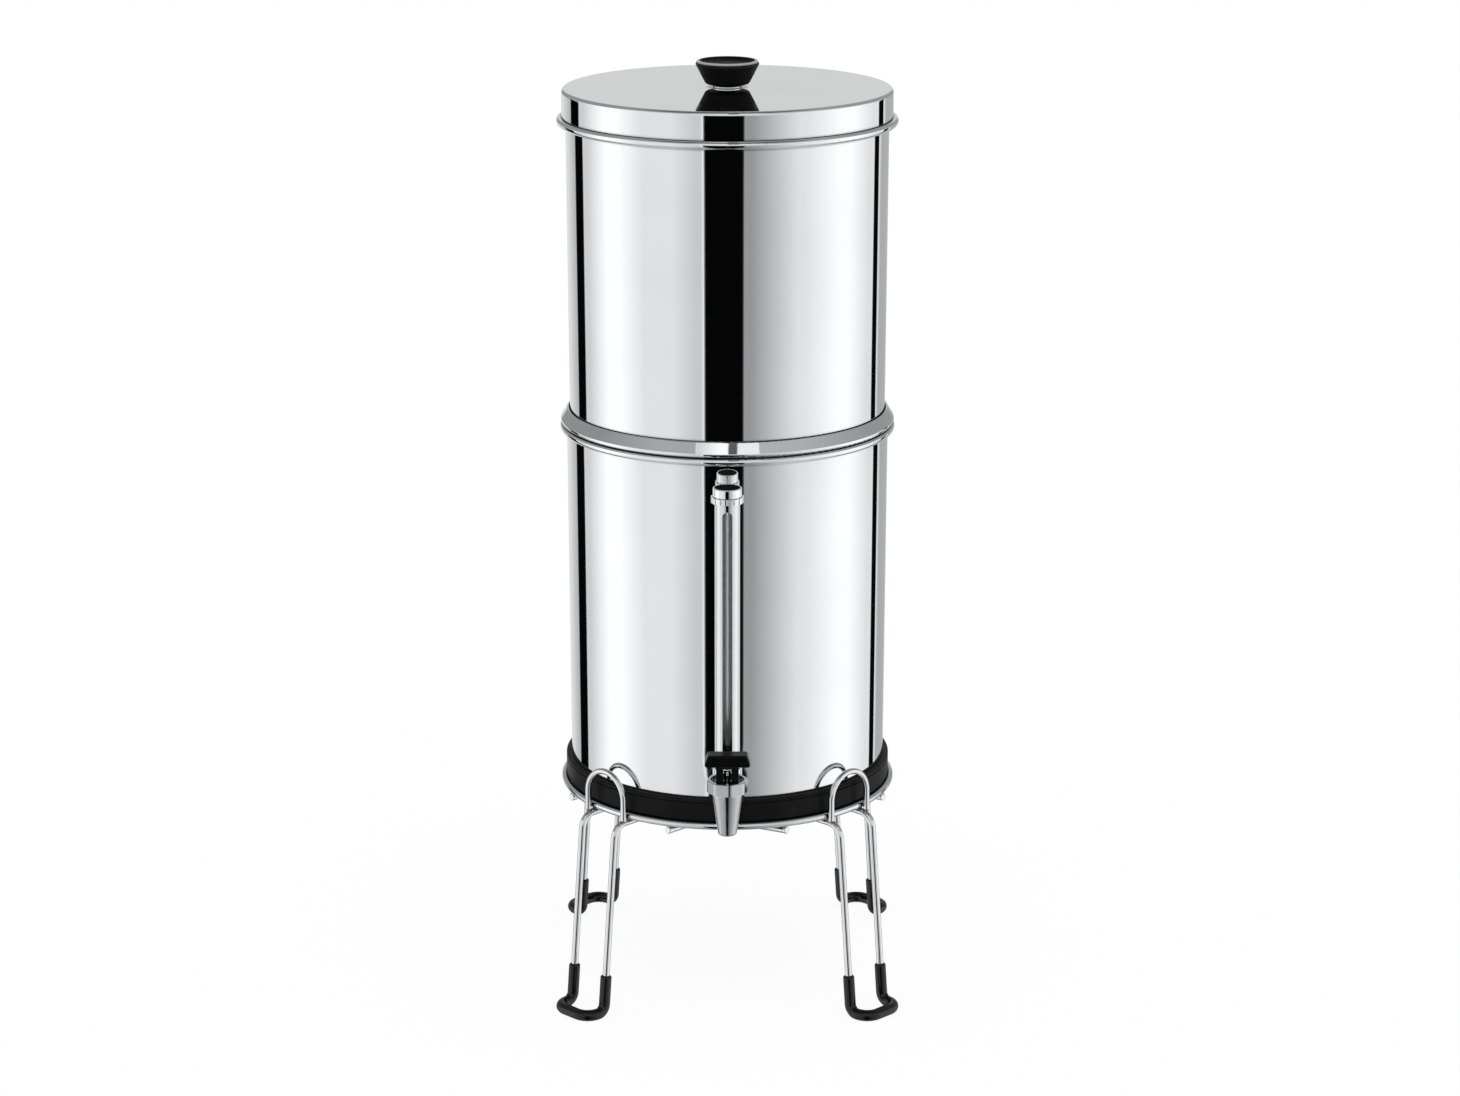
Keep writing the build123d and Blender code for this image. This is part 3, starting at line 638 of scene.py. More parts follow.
def grown(host: bpy.types.Mesh, tree: Tree, values: dict, name: str) -> bpy.types.Mesh:
    """Runs a tree on a host mesh and returns the result as a plain mesh.

    Args:
        host: the mesh that the tree starts from.
        tree: the tree.
        values: the tree's inputs by name.
        name: the new mesh's name.

    Returns:
        The evaluated mesh, with no modifier left.
    """
    holder = bpy.data.objects.new(name + "_host", host)
    bpy.context.scene.collection.objects.link(holder)
    modifier = holder.modifiers.new("grow", "NODES")
    modifier.node_group = tree
    for item in tree.interface.items_tree:
        if item.in_out == "INPUT" and item.name in values:
            modifier[item.identifier] = values[item.name]
    shown = holder.evaluated_get(bpy.context.evaluated_depsgraph_get())
    mesh = bpy.data.meshes.new_from_object(shown)
    mesh.name = name
    holder.modifiers.remove(modifier)
    bpy.data.objects.remove(holder)
    return mesh


@dataclass(frozen=True)
class Knot:
    """One corner of a wire's centre line, in millimetres, with its bend and its girth as a share."""

    at: Point
    bend: float = 0.0
    girth: float = 1.0


@dataclass
class WireBender:
    """Bends round stock along a centre line with a Geometry Nodes tree."""

    sides: int = 28
    steps: int = 10
    tree: Tree = field(init=False)

    def __post_init__(self) -> None:
        """Builds the tree: fillets the corners, sweeps the round, flattens what would pass the floor."""
        sockets = {
            "Centre Line": "Geometry",
            "Diameter": "Float",
            "Sides": "Int",
            "Bend Steps": "Int",
            "Floor": "Float",
            "Material": "Material",
        }
        self.tree, given = begun("bent_wire", sockets)
        tree = self.tree
        line = node(tree, "GeometryNodeMeshToCurve", {"Mesh": given["Centre Line"]}).outputs[0]
        corners = {"Curve": line, "Count": given["Bend Steps"], "Radius": recalled(tree, "bend")}
        bent = node(tree, "GeometryNodeFilletCurve", corners, mode="POLY").outputs[0]
        run = node(tree, "GeometryNodeSplineParameter").outputs["Length"]
        bent = stored(tree, bent, "wire_run", run)
        profile = circle(tree, given["Sides"], math_node(tree, "DIVIDE", given["Diameter"], 2.0))
        profile = stored(tree, profile, "wire_round", run)
        sweep = {
            "Curve": bent,
            "Profile Curve": profile,
            "Scale": recalled(tree, "girth"),
            "Fill Caps": True,
        }
        solid = node(tree, "GeometryNodeCurveToMesh", sweep).outputs[0]
        lay = joined(tree, recalled(tree, "wire_round"), recalled(tree, "wire_run"))
        solid = stored(tree, solid, "wire_lay", lay, "FLOAT_VECTOR")
        across, along, level = split(tree, node(tree, "GeometryNodeInputPosition").outputs[0])
        above = joined(tree, across, along, math_node(tree, "MAXIMUM", level, given["Floor"]))
        pressed = {"Geometry": solid, "Position": above}
        solid = node(tree, "GeometryNodeSetPosition", pressed).outputs[0]
        ended(tree, solid, given["Material"])

    def bent(
        self,
        name: str,
        knots: list[Knot],
        diameter: float,
        finish: Finish,
        closed: bool = False,
        floor: float = -1000.0,
    ) -> bpy.types.Mesh:
        """Bends one wire.

        Args:
            name: the mesh's name.
            knots: the corners of the centre line, in millimetres.
            diameter: the stock's diameter in millimetres.
            finish: its finish.
            closed: whether the last corner joins the first.
            floor: the level in millimetres below which it is pressed flat.

        Returns:
            The wire's mesh.
        """
        count = len(knots)
        edges = [(i, (i + 1) % count) for i in range(count if closed else count - 1)]
        host = host_mesh(name + "_line", [k.at for k in knots], edges)
        bends, girths = [k.bend * MM for k in knots], [k.girth for k in knots]
        for label, numbers in (("bend", bends), ("girth", girths)):
            host.attributes.new(label, "FLOAT", "POINT").data.foreach_set("value", numbers)
        values = {
            "Diameter": diameter * MM,
            "Sides": self.sides,
            "Bend Steps": self.steps,
            "Floor": floor * MM,
            "Material": finish.material(),
        }
        return grown(host, self.tree, values, name)


@dataclass
class BeadLayer:
    """Sets weld nuggets at given places with a Geometry Nodes tree."""

    seed: int = 7
    smallest: float = 0.85
    largest: float = 1.1
    rounds: int = 3
    tree: Tree = field(init=False)

    def __post_init__(self) -> None:
        """Builds the tree: one small ball on each point, of slightly varied size."""
        sockets = {
            "Places": "Geometry",
            "Radius": "Float",
            "Flatness": "Float",
            "Seed": "Int",
            "Material": "Material",
        }
        self.tree, given = begun("weld_nuggets", sockets)
        tree = self.tree
        size = {"Radius": given["Radius"], "Subdivisions": self.rounds}
        ball = node(tree, "GeometryNodeMeshIcoSphere", size).outputs[0]
        bounds = {2: self.smallest, 3: self.largest, "Seed": given["Seed"]}
        varied = node(tree, "FunctionNodeRandomValue", bounds, data_type="FLOAT").outputs[1]
        scale = joined(tree, varied, varied, math_node(tree, "MULTIPLY", varied, given["Flatness"]))
        laid = {"Points": given["Places"], "Instance": ball, "Scale": scale}
        ended(tree, node(tree, "GeometryNodeInstanceOnPoints", laid).outputs[0], given["Material"])

    def laid(
        self, name: str, places: list[Vector], radius: float, flatness: float, finish: Finish
    ) -> bpy.types.Mesh:
        """Lays one set of nuggets.

        Args:
            name: the mesh's name.
            places: their centres in millimetres.
            radius: a nugget's radius in millimetres.
            flatness: its height as a share of its width.
            finish: its finish.

        Returns:
            The nuggets as one mesh.
        """
        values = {
            "Radius": radius * MM,
            "Flatness": flatness,
            "Seed": self.seed,
            "Material": finish.material(),
        }
        return grown(host_mesh(name + "_places", places, []), self.tree, values, name)


@dataclass
class ThreadCutter:
    """Winds a screw thread round an axis with a Geometry Nodes tree."""

    steps: int = 36
    crest: float = 0.42
    depth: float = 0.35
    tree: Tree = field(init=False)

    def __post_init__(self) -> None:
        """Builds the tree: a helix with a four-sided ridge, set on each point of the host."""
        sockets = {
            "Feet": "Geometry",
            "Radius": "Float",
            "Length": "Float",
            "Pitch": "Float",
            "Tilt": "Float",
            "Material": "Material",
        }
        self.tree, given = begun("screw_thread", sockets)
        tree = self.tree
        winding = {
            "Resolution": self.steps,
            "Rotations": math_node(tree, "DIVIDE", given["Length"], given["Pitch"]),
            "Start Radius": given["Radius"],
            "End Radius": given["Radius"],
            "Height": given["Length"],
        }
        helix = node(tree, "GeometryNodeCurveSpiral", winding).outputs[0]
        ridge = circle(tree, 4, math_node(tree, "MULTIPLY", given["Pitch"], self.crest))
        sweep = {"Curve": helix, "Profile Curve": ridge, "Fill Caps": True}
        thread = node(tree, "GeometryNodeCurveToMesh", sweep).outputs[0]
        turn = joined(tree, given["Tilt"])
        laid = {"Points": given["Feet"], "Instance": thread, "Rotation": turn}
        threads = node(tree, "GeometryNodeInstanceOnPoints", laid).outputs[0]
        ended(tree, threads, given["Material"], smooth=False)

    def cut(
        self,
        name: str,
        feet: list[Point],
        radius: float,
        length: float,
        pitch: float,
        tilt: float,
        finish: Finish,
    ) -> bpy.types.Mesh:
        """Winds one thread on each foot.

        Args:
            name: the mesh's name.
            feet: where each thread starts, in millimetres.
            radius: the radius in millimetres of the stem or shank that it stands on.
            length: its length in millimetres.
            pitch: the distance between turns in millimetres.
            tilt: the axis's turn about X in degrees, from upright.
            finish: its finish.

        Returns:
            The threads as one mesh.
        """
        values = {
            "Radius": (radius - self.depth) * MM,
            "Length": length * MM,
            "Pitch": pitch * MM,
            "Tilt": math.radians(tilt),
            "Material": finish.material(),
        }
        return grown(host_mesh(name + "_feet", feet, []), self.tree, values, name)


# --- sub-assemblies --------------------------------------------------------------------------


@dataclass
class Stand:
    """The wire stand with its rubber feet. Sizes are in millimetres and are the CAD's."""

    wire: float = 4.8
    guard_wire: float = 4.0
    ring_radius: float = 111.5
    ring_level: float = 137.5
    ring_steps: int = 240
    upper_level: float = 132.66
    lower_level: float = 127.82
    spread: float = 15.5
    leg_top: float = 121.2
    leg_foot: float = 132.7
    leg_bend: float = 10.0
    foot_reach: float = 15.3
    foot_bend: float = 6.0
    foot_corner: float = 9.6
    foot_level: float = 3.4
    rod_offset: float = 47.0
    rod_half: float = 103.0
    rod_round: float = 0.6
    joggle_start: float = 101.0
    joggle_end: float = 62.0
    joggle_bend: float = 8.0
    guard_plane: float = 114.93
    guard_half: float = 17.1
    guard_foot: float = 135.1
    guard_top: float = 165.3
    guard_step: int = 6
    sleeve: float = 7.6
    sleeve_height: float = 29.0
    sleeve_lip: float = 0.15
    round_turns: tuple[float, ...] = (0.0, 22.5, 45.0, 67.5, 90.0)
    weld: float = 1.9
    weld_flatness: float = 0.75
    corners: tuple[tuple[str, float, bool], ...] = (
        ("front_left", 225.0, False),
        ("front_right", 315.0, True),
        ("back_left", 135.0, True),
        ("back_right", 45.0, False),
    )
    bender: WireBender = field(default_factory=WireBender)
    welder: BeadLayer = field(default_factory=BeadLayer)

    def build(self) -> None:
        """Builds every wire, sleeve and weld of the stand in its finish."""
        self._ring()
        for name, azimuth, dips in self.corners:
            self._leg("stand_leg_" + name, azimuth, dips)
            self._guard("stand_guard_" + name, azimuth)
            self._sleeve("foot_sleeve_" + name, azimuth)
        for side, offset in (("a", -self.rod_offset), ("b", self.rod_offset)):
            self._rod("stand_rod_straight_" + side, 45.0, offset, False)
            self._rod("stand_rod_joggled_" + side, 135.0, offset, True)
        self._welds()

    def _turned(self, knots: list[Knot], azimuth: float) -> list[Knot]:
        """The same knots turned about the vertical axis."""
        turn = Matrix.Rotation(math.radians(azimuth), 3, "Z")
        return [replace(k, at=tuple(turn @ Vector(k.at))) for k in knots]

    def _mirrored(self, side: list[Knot]) -> list[Knot]:
        """One side of a wire followed by its mirror image across the leg's own plane."""
        return side + [replace(k, at=(k.at[0], -k.at[1], k.at[2])) for k in reversed(side)]

    def _rounded(self, knots: list[Knot], diameter: float, lip: float) -> list[Knot]:
        """Adds knots that round off both ends of a straight-ended wire.

        Args:
            knots: the wire's corners.
            diameter: the stock's diameter.
            lip: the round's radius.

        Returns:
            The corners with the rounds' own.
        """
        rounds = []
        for last, before in ((0, 1), (-1, -2)):
            end, run = Vector(knots[last].at), Vector(knots[before].at)
            inward = (run - end).normalized()
            extra = []
            for angle in map(math.radians, self.round_turns):
                depth = lip * (1 - math.sin(angle))
                girth = 1 - 2 * lip / diameter * (1 - math.cos(angle))
                extra.append(Knot(tuple(end + inward * depth), 0.0, girth))
            rounds.append(extra)
        return rounds[0][::-1] + knots[1:-1] + rounds[1]

    def _wire(self, name: str, knots: list[Knot], diameter: float, closed: bool = False) -> None:
        """Bends one bright wire, shown instead of the CAD node of that name.

        Args:
            name: the CAD node.
            knots: the corners of the centre line.
            diameter: the stock's diameter.
            closed: whether the last corner joins the first.
        """
        piece = name + "_wire"
        mesh = self.bender.bent(piece, knots, diameter, BRIGHT_WIRE, closed)
        placed(piece, mesh, "stand", (name,))

    def _ring(self) -> None:
        """The ring that carries the chambers."""
        turns = [2 * math.pi * i / self.ring_steps for i in range(self.ring_steps)]
        knots = [
            Knot((self.ring_radius * math.cos(a), self.ring_radius * math.sin(a), self.ring_level))
            for a in turns
        ]
        self._wire("stand_ring", knots, self.wire, closed=True)

    def _foot(self) -> list[Knot]:
        """One half of a foot's two corners, down at the floor."""
        toe = self.leg_foot + self.foot_reach
        return [
            Knot((self.leg_foot, self.spread, self.foot_level), self.foot_bend),
            Knot((toe, self.spread, self.foot_level), self.foot_corner),
        ]

    def _joggle(self, offset: float) -> list[Knot]:
        """The two bends by which a wire dips under the ones that it crosses, from within outwards."""
        return [
            Knot((self.joggle_end, offset, self.lower_level), self.joggle_bend),
            Knot((self.joggle_start, offset, self.upper_level), self.joggle_bend),
        ]

    def _leg(self, name: str, azimuth: float, dips: bool) -> None:
        """One hairpin leg: in under the ring, down, round the foot and back."""
        side = [Knot((0.0, self.spread, self.lower_level if dips else self.upper_level))]
        if dips:
            side += self._joggle(self.spread)
        side.append(Knot((self.leg_top, self.spread, self.upper_level), self.leg_bend))
        side += self._foot()
        self._wire(name, self._turned(self._mirrored(side), azimuth), self.wire)

    def _guard(self, name: str, azimuth: float) -> None:
        """One inverted U of wire outside the ring."""
        spring = self.guard_top - self.guard_half
        side = [Knot((self.guard_plane, self.guard_half, self.guard_foot))]
        for angle in map(math.radians, range(0, 90, self.guard_step)):
            across, up = self.guard_half * math.cos(angle), self.guard_half * math.sin(angle)
            side.append(Knot((self.guard_plane, across, spring + up)))
        knots = self._mirrored(side)
        knots.insert(len(side), Knot((self.guard_plane, 0.0, self.guard_top)))
        self._wire(name, self._turned(knots, azimuth), self.guard_wire)

    def _sleeve(self, name: str, azimuth: float) -> None:
        """The dipped sleeve on a foot, lipped at its ends and flat where it stands."""
        slope = (self.leg_foot - self.leg_top) / (self.upper_level - self.foot_level)
        top = self.leg_foot - slope * (self.sleeve_height - self.foot_level)
        side = [Knot((top, self.spread, self.sleeve_height)), *self._foot()]
        lip = (self.sleeve - self.wire) / 2 + self.sleeve_lip
        knots = self._turned(self._rounded(self._mirrored(side), self.sleeve, lip), azimuth)
        mesh = self.bender.bent(name + "_dip", knots, self.sleeve, DIPPED_VINYL, floor=0.0)
        placed(name + "_dip", mesh, "stand", (name,))

    def _rod(self, name: str, azimuth: float, offset: float, dips: bool) -> None:
        """One cross rod under the ring."""
        half = self._joggle(offset) if dips else []
        half.append(Knot((self.rod_half, offset, self.upper_level)))
        other = [replace(k, at=(-k.at[0], k.at[1], k.at[2])) for k in reversed(half)]
        knots = self._rounded(other + half, self.wire, self.rod_round)
        self._wire(name, self._turned(knots, azimuth), self.wire)

    def _welds(self) -> None:
        """Spot welds where legs, rods and guards touch the ring and each other."""
        places = []
        offsets = (-self.rod_offset, -self.spread, self.spread, self.rod_offset)
        ring_contact = (self.ring_level + self.upper_level) / 2
        crossing = (self.upper_level + self.lower_level) / 2
        for _, azimuth, _ in self.corners:
            turn = Matrix.Rotation(math.radians(azimuth), 3, "Z")
            for offset in offsets:
                reach = math.sqrt(self.ring_radius**2 - offset**2)
                places.append(turn @ Vector((reach, offset, ring_contact)))
            for side in (-1, 1):
                foot = Vector((self.guard_plane, side * self.guard_half, self.guard_foot))
                places.append(turn @ foot)
        turn = Matrix.Rotation(math.radians(45), 3, "Z")
        places += [turn @ Vector((x, y, crossing)) for x in offsets for y in offsets]
        mesh = self.welder.laid("stand_welds", places, self.weld, self.weld_flatness, WELD)
        placed("stand_welds", mesh, "stand")


@dataclass
class LowerChamber:
    """The lower pot with its rubber ring."""

    steel: tuple[str, ...] = ("lower_chamber",)
    rubber: tuple[str, ...] = ("base_ring",)

    def dress(self) -> None:
        """Finishes the pot and the ring."""
        dress(MIRROR_STEEL, *self.steel)
        dress(RUBBER, *self.rubber)


@dataclass
class Tap:
    """The lever tap with its shank, washers and nut. Sizes are in millimetres and are the CAD's."""

    level: float = 170.48
    shank_radius: float = 8.0
    thread_from: float = 93.4
    thread_length: float = 9.0
    thread_pitch: float = 1.8
    cutter: ThreadCutter = field(default_factory=ThreadCutter)

    def build(self) -> None:
        """Winds the thread on the shank's inner end."""
        name, foot = "shank_thread", (0.0, -self.thread_from, self.level)
        size = (self.shank_radius, self.thread_length, self.thread_pitch)
        mesh = self.cutter.cut(name, [foot], *size, tilt=90.0, finish=SATIN_STEEL)
        placed(name, mesh, "lower_chamber_set")

    def dress(self) -> None:
        """Finishes the tap's nodes."""
        dress(SATIN_STEEL, "tap_body", "tap_bonnet", "shank_nut")
        dress(CHROME, "valve_stem", "lever_pin")
        dress(MOULDED_ABS, "tap_lever")
        dress(SILICONE, "valve_seat_cup")
        dress(RUBBER, "shank_washer_outer", "shank_washer_middle", "shank_washer_inner")


@dataclass
class Gauge:
    """The sight gauge in front of the lower chamber."""

    plated: tuple[str, ...] = ("gauge_base", "gauge_collar", "gauge_cap")

    def dress(self) -> None:
        """Finishes the gauge's nodes."""
        dress(CHROME, *self.plated)
        dress(SHEATH_CHROME, "gauge_sheath")
        dress(ACRYLIC, "gauge_glass")
        dress(RUBBER, "gauge_seal")
        dress(PLUG_RUBBER, "gauge_vent_plug")


@dataclass
class UpperChamber:
    """The upper pot with its collar and the filters. Sizes are in millimetres and are the CAD's."""

    stem_offset: float = 50.0
    stem_radius: float = 6.0
    stem_foot: float = 355.2
    thread_length: float = 25.0
    thread_pitch: float = 1.75
    cutter: ThreadCutter = field(default_factory=ThreadCutter)

    def build(self) -> None:
        """Winds the threads on the filters' stems."""
        name, feet = "stem_threads", [(side * self.stem_offset, 0.0, self.stem_foot) for side in (-1, 1)]
        size = (self.stem_radius, self.thread_length, self.thread_pitch)
        mesh = self.cutter.cut(name, feet, *size, tilt=0.0, finish=POLYPROPYLENE)
        placed(name, mesh, "upper_chamber_set")

    def dress(self) -> None:
        """Finishes the pot, the collar and the filters."""
        dress(BEADED_STEEL, "upper_chamber")
        dress(MIRROR_STEEL, "seating_collar")
        dress(CARBON_BLOCK, "filter_element_left", "filter_element_right")
        dress(POLYPROPYLENE, "filter_base_left", "filter_base_right", "wing_nuts")
        dress(POLYPROPYLENE, "blanking_plug_front", "blanking_plug_back")
        dress(SILICONE, "stem_gaskets")


@dataclass
class Lid:
    """The lid with its knob."""

    steel: tuple[str, ...] = ("lid",)
    axis: Point = (0.0, 0.0, 0.0)

    def dress(self) -> None:
        """Finishes the lid, the knob and what holds it."""
        dress(LID_STEEL, *self.steel)
        dress(replace(CHROME, name="chromium_plate_washer", centre_mm=self.axis), "knob_washer")
        dress(replace(SATIN_STEEL, name="stainless_screw", centre_mm=self.axis), "knob_screw")
        dress(PHENOLIC, "lid_knob")


# --- studio ----------------------------------------------------------------------------------


@dataclass(frozen=True)
class Panel:
    """An even stretch of the studio; between two of them the level slides from one to the other."""

    start: float
    end: float
    level: float


@dataclass
class Studio:
    """Camera, white floor and the soft studio that the steel mirrors.

    The studio is a round tent of walls, soft boxes and dark flags. Azimuths are in degrees from the
    camera's side, positive to the picture's right, and heights are elevations in degrees. A pair says where
    a change starts and where it is complete.
    """

    # The camera, in metres; the lens is in pixels of the photograph and the pitch in radians.
    distance: float = 2.4252
    height: float = 0.9655
    pitch: float = 0.2569
    lens_px: float = 3704.08
    picture_width: float = 1460.0
    sensor_mm: float = 36.0
    shift_x: float = 0.0018
    shift_y: float = -0.03
    clip: Pair = (0.05, 100.0)
    # The floor, and the share of plain white in what the eye sees of it.
    floor_radius: float = 14.0
    floor_sides: int = 96
    floor_wash: float = 0.92
    # The even light and the lamp, which light all that isn't a mirror.
    ambient: float = 0.75
    sun_level: float = 0.25
    sun_tilt: float = 20.0
    sun_turn: float = 15.0
    sun_width: float = 60.0
    # The tent's walls. Their flags end at eye level, above which walls are never darker than upper.
    left: tuple[Panel, ...] = (
        Panel(-180, -158, 0.79),  # back wall
        Panel(-139.5, -138.7, 0.54),  # its shaded corner
        Panel(-138.3, -125.0, 0.002),  # rear flag
        Panel(-124.6, -118.6, 0.73),  # side wall
        Panel(-96, -83, 1.22),  # soft box
        Panel(-62, -40, 0.92),  # front wall
        Panel(-22, -18.3, 0.70),  # its shaded end
        Panel(-17.2, -16.4, 1.0),  # gap of light
        Panel(-16.1, 0, 0.002),  # flag round the camera
    )
    right: tuple[Panel, ...] = (
        Panel(0, 11.2, 0.002),  # flag round the camera
        Panel(11.6, 17, 0.37),  # shaded end of the front wall
        Panel(52, 56, 0.92),  # front wall
        Panel(86, 98, 1.21),  # soft box
        Panel(122, 129.0, 0.88),  # side wall
        Panel(129.4, 137.2, 0.002),  # rear flag
        Panel(137.6, 138.5, 0.85),  # gap of light
        Panel(143, 165, 0.47),  # shaded corner
        Panel(180, 180, 0.79),  # back wall
    )
    upper: float = 0.80
    upper_from: Pair = (0, 6)
    # The eaves: azimuth to either side, and how high the walls reach there as a share of the radius.
    eaves: tuple[Pair, ...] = (
        (0, 0.66),
        (65, 0.54),
        (107, 0.31),
        (122, 0.20),
        (135, 0.09),
        (144, -0.01),
        (160, -0.07),
        (180, -0.07),
    )
    eaves_soft: float = 0.05
    # The ceiling, dark overhead, with a light stretch right behind.
    ceiling: tuple[Panel, ...] = (
        Panel(-180, -107, 0.32),  # behind, left
        Panel(-60, 0, 0.46),  # in front, left
        Panel(20, 62, 0.52),  # in front, right
        Panel(122, 180, 0.35),  # behind, right
    )
    zenith: float = 0.13
    zenith_from: Pair = (54, 68)
    behind: float = 0.70
    behind_azimuth: Pair = (164, 171)
    behind_height: Pair = (20, 13)
    # The window in the ceiling, on a plane one unit up: its panes, half its width, its other two edges.
    window: tuple[Panel, ...] = (
        Panel(-0.40, -0.36, 0.80),  # its shaded end
        Panel(-0.10, 0.0, 1.2),  # left pane
        Panel(0.02, 0.12, 0.12),  # bar
        Panel(0.14, 0.38, 1.0),  # right pane
    )
    window_half: float = 0.41
    window_inner: Pair = (-0.5, -0.58)
    window_outer: Pair = (-1.0, -0.85)
    # The white floor mirrors the tent more dimly, and is darkest right under the object.
    floor_share: float = 0.6
    floor_from: Pair = (-25, -46)
    below: float = 0.24
    below_from: Pair = (-70, -80)
    # A ramp holds nothing above one or below zero: levels are divided by full_level, eaves raised.
    full_level: float = 1.3
    eaves_lift: float = 0.2

    def build(self) -> None:
        """Sets up camera, floor, lamp and world."""
        scene = bpy.context.scene
        scene.view_settings.view_transform = "Standard"
        self._camera(scene)
        self._floor(scene)
        self._sun(scene)
        self._world(scene)

    def _camera(self, scene: bpy.types.Scene) -> None:
        """The photograph's camera, with its shift kept small."""
        lens = bpy.data.cameras.new("camera")
        lens.sensor_width = self.sensor_mm
        lens.lens = self.lens_px / self.picture_width * lens.sensor_width
        lens.shift_x, lens.shift_y = self.shift_x, self.shift_y
        lens.clip_start, lens.clip_end = self.clip
        camera = bpy.data.objects.new("camera", lens)
        camera.location = (0.0, -self.distance, self.height)
        camera.rotation_euler = (math.pi / 2 - self.pitch, 0.0, 0.0)
        scene.collection.objects.link(camera)
        scene.camera = camera

    def _floor(self, scene: bpy.types.Scene) -> None:
        """A wide plain white floor that keeps the object's shadow and stays out of its mirrors."""
        turns = [2 * math.pi * i / self.floor_sides for i in range(self.floor_sides)]
        rim = [(self.floor_radius * math.cos(a), self.floor_radius * math.sin(a), 0.0) for a in turns]
        mesh = bpy.data.meshes.new("floor")
        mesh.from_pydata(rim, [], [list(range(self.floor_sides))])
        paint = bpy.data.materials.new("matt_white_floor")
        paint.use_nodes = True
        tree = paint.node_tree
        shader = tree.nodes["Principled BSDF"]
        shader.inputs["Base Color"].default_value = linear("#FEFEFE")
        shader.inputs["Roughness"].default_value = 1.0
        shader.inputs["Specular IOR Level"].default_value = 0.0
        eye = node(tree, "ShaderNodeLightPath").outputs["Is Camera Ray"]
        wash = math_node(tree, "MULTIPLY", eye, self.floor_wash)
        white = node(tree, "ShaderNodeEmission", {"Color": grey(1.0), "Strength": 1.0}).outputs[0]
        seen = node(tree, "ShaderNodeMixShader", {0: wash, 1: shader.outputs[0], 2: white}).outputs[0]
        tree.links.new(seen, tree.nodes["Material Output"].inputs["Surface"])
        mesh.materials.append(paint)
        floor = bpy.data.objects.new("floor", mesh)
        floor.visible_glossy = False
        scene.collection.objects.link(floor)
        floor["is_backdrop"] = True

    def _sun(self, scene: bpy.types.Scene) -> None:
        """One very soft lamp above and in front, out of the mirrors."""
        lamp = bpy.data.lights.new("soft_lamp", "SUN")
        tilt = math.radians(self.sun_tilt)
        lamp.energy = self.sun_level * math.pi / math.cos(tilt)
        lamp.angle = math.radians(self.sun_width)
        holder = bpy.data.objects.new("soft_lamp", lamp)
        holder.rotation_euler = (tilt, 0.0, math.radians(self.sun_turn))
        holder.visible_glossy = False
        scene.collection.objects.link(holder)

    def _ramp(self, tree: Tree, value: Socket, stops: list[Pair]) -> Socket:
        """The level at a value, sliding between the stops of a list.

        Args:
            tree: the world's tree.
            value: the place on the list, in its own unit.
            stops: value and level of each stop.

        Returns:
            The level there.
        """
        first, last = stops[0][0], stops[-1][0]
        ramp = node(tree, "ShaderNodeValToRGB", {0: ranged(tree, value, first, last)})
        elements = ramp.color_ramp.elements
        for i, (at, level) in enumerate(stops):
            place = (at - first) / (last - first)
            # A new ramp has two stops already.
            stop = elements[i] if i < 2 else elements.new(place)
            stop.position = place
            stop.color = grey(level / self.full_level)
        return math_node(tree, "MULTIPLY", ramp.outputs[0], self.full_level)

    def _panels(self, tree: Tree, value: Socket, panels: tuple[Panel, ...]) -> Socket:
        """The level at a value along a row of panels."""
        stops = [(at, panel.level) for panel in panels for at in sorted({panel.start, panel.end})]
        return self._ramp(tree, value, stops)

    def _height(self, tree: Tree, rise: Socket, bounds: Pair) -> Socket:
        """How far a direction has risen from one elevation in degrees to another, from zero to one."""
        ends = [math.sin(math.radians(a)) for a in bounds]
        return ranged(tree, rise, *ends, kind="SMOOTHSTEP")

    def _mixed(self, tree: Tree, share: Socket, low: float | Socket, high: float | Socket) -> Socket:
        """A number between two others, by its share."""
        return node(tree, "ShaderNodeMix", {0: share, 2: low, 3: high}).outputs[0]

    def _tent(self, tree: Tree) -> Socket:
        """The studio as the steel mirrors it, from the direction alone."""
        across, back, rise = split(tree, node(tree, "ShaderNodeTexCoord").outputs["Generated"])
        ahead = math_node(tree, "MULTIPLY", back, -1.0)
        azimuth = math_node(tree, "DEGREES", math_node(tree, "ARCTAN2", across, ahead))
        aside = math_node(tree, "ABSOLUTE", azimuth)
        on_right = math_node(tree, "GREATER_THAN", azimuth, 0.0)
        left, right = self._panels(tree, azimuth, self.left), self._panels(tree, azimuth, self.right)
        walls = self._mixed(tree, on_right, left, right)
        # The dark strips stand below eye level only, so that no flat lid mirrors them from another side.
        upper = math_node(tree, "MULTIPLY", self._height(tree, rise, self.upper_from), self.upper)
        walls = math_node(tree, "MAXIMUM", walls, upper)
        # The walls end along slanting eaves, lowest behind, so that the collar mirrors ceiling alone.
        lifted = self._ramp(tree, aside, [(at, top + self.eaves_lift) for at, top in self.eaves])
        over = math_node(tree, "SUBTRACT", rise, math_node(tree, "SUBTRACT", lifted, self.eaves_lift))
        over = ranged(tree, over, -self.eaves_soft, self.eaves_soft, kind="SMOOTHSTEP")
        ceiling = self._ceiling(tree, azimuth, rise)
        ceiling = self._behind(tree, aside, rise, ceiling)
        ceiling = self._window(tree, across, back, rise, ceiling)
        level = self._mixed(tree, over, walls, ceiling)
        floor = math_node(tree, "MULTIPLY", walls, self.floor_share)
        floor = self._mixed(tree, self._height(tree, rise, self.below_from), floor, self.below)
        return self._mixed(tree, self._height(tree, rise, self.floor_from), level, floor)

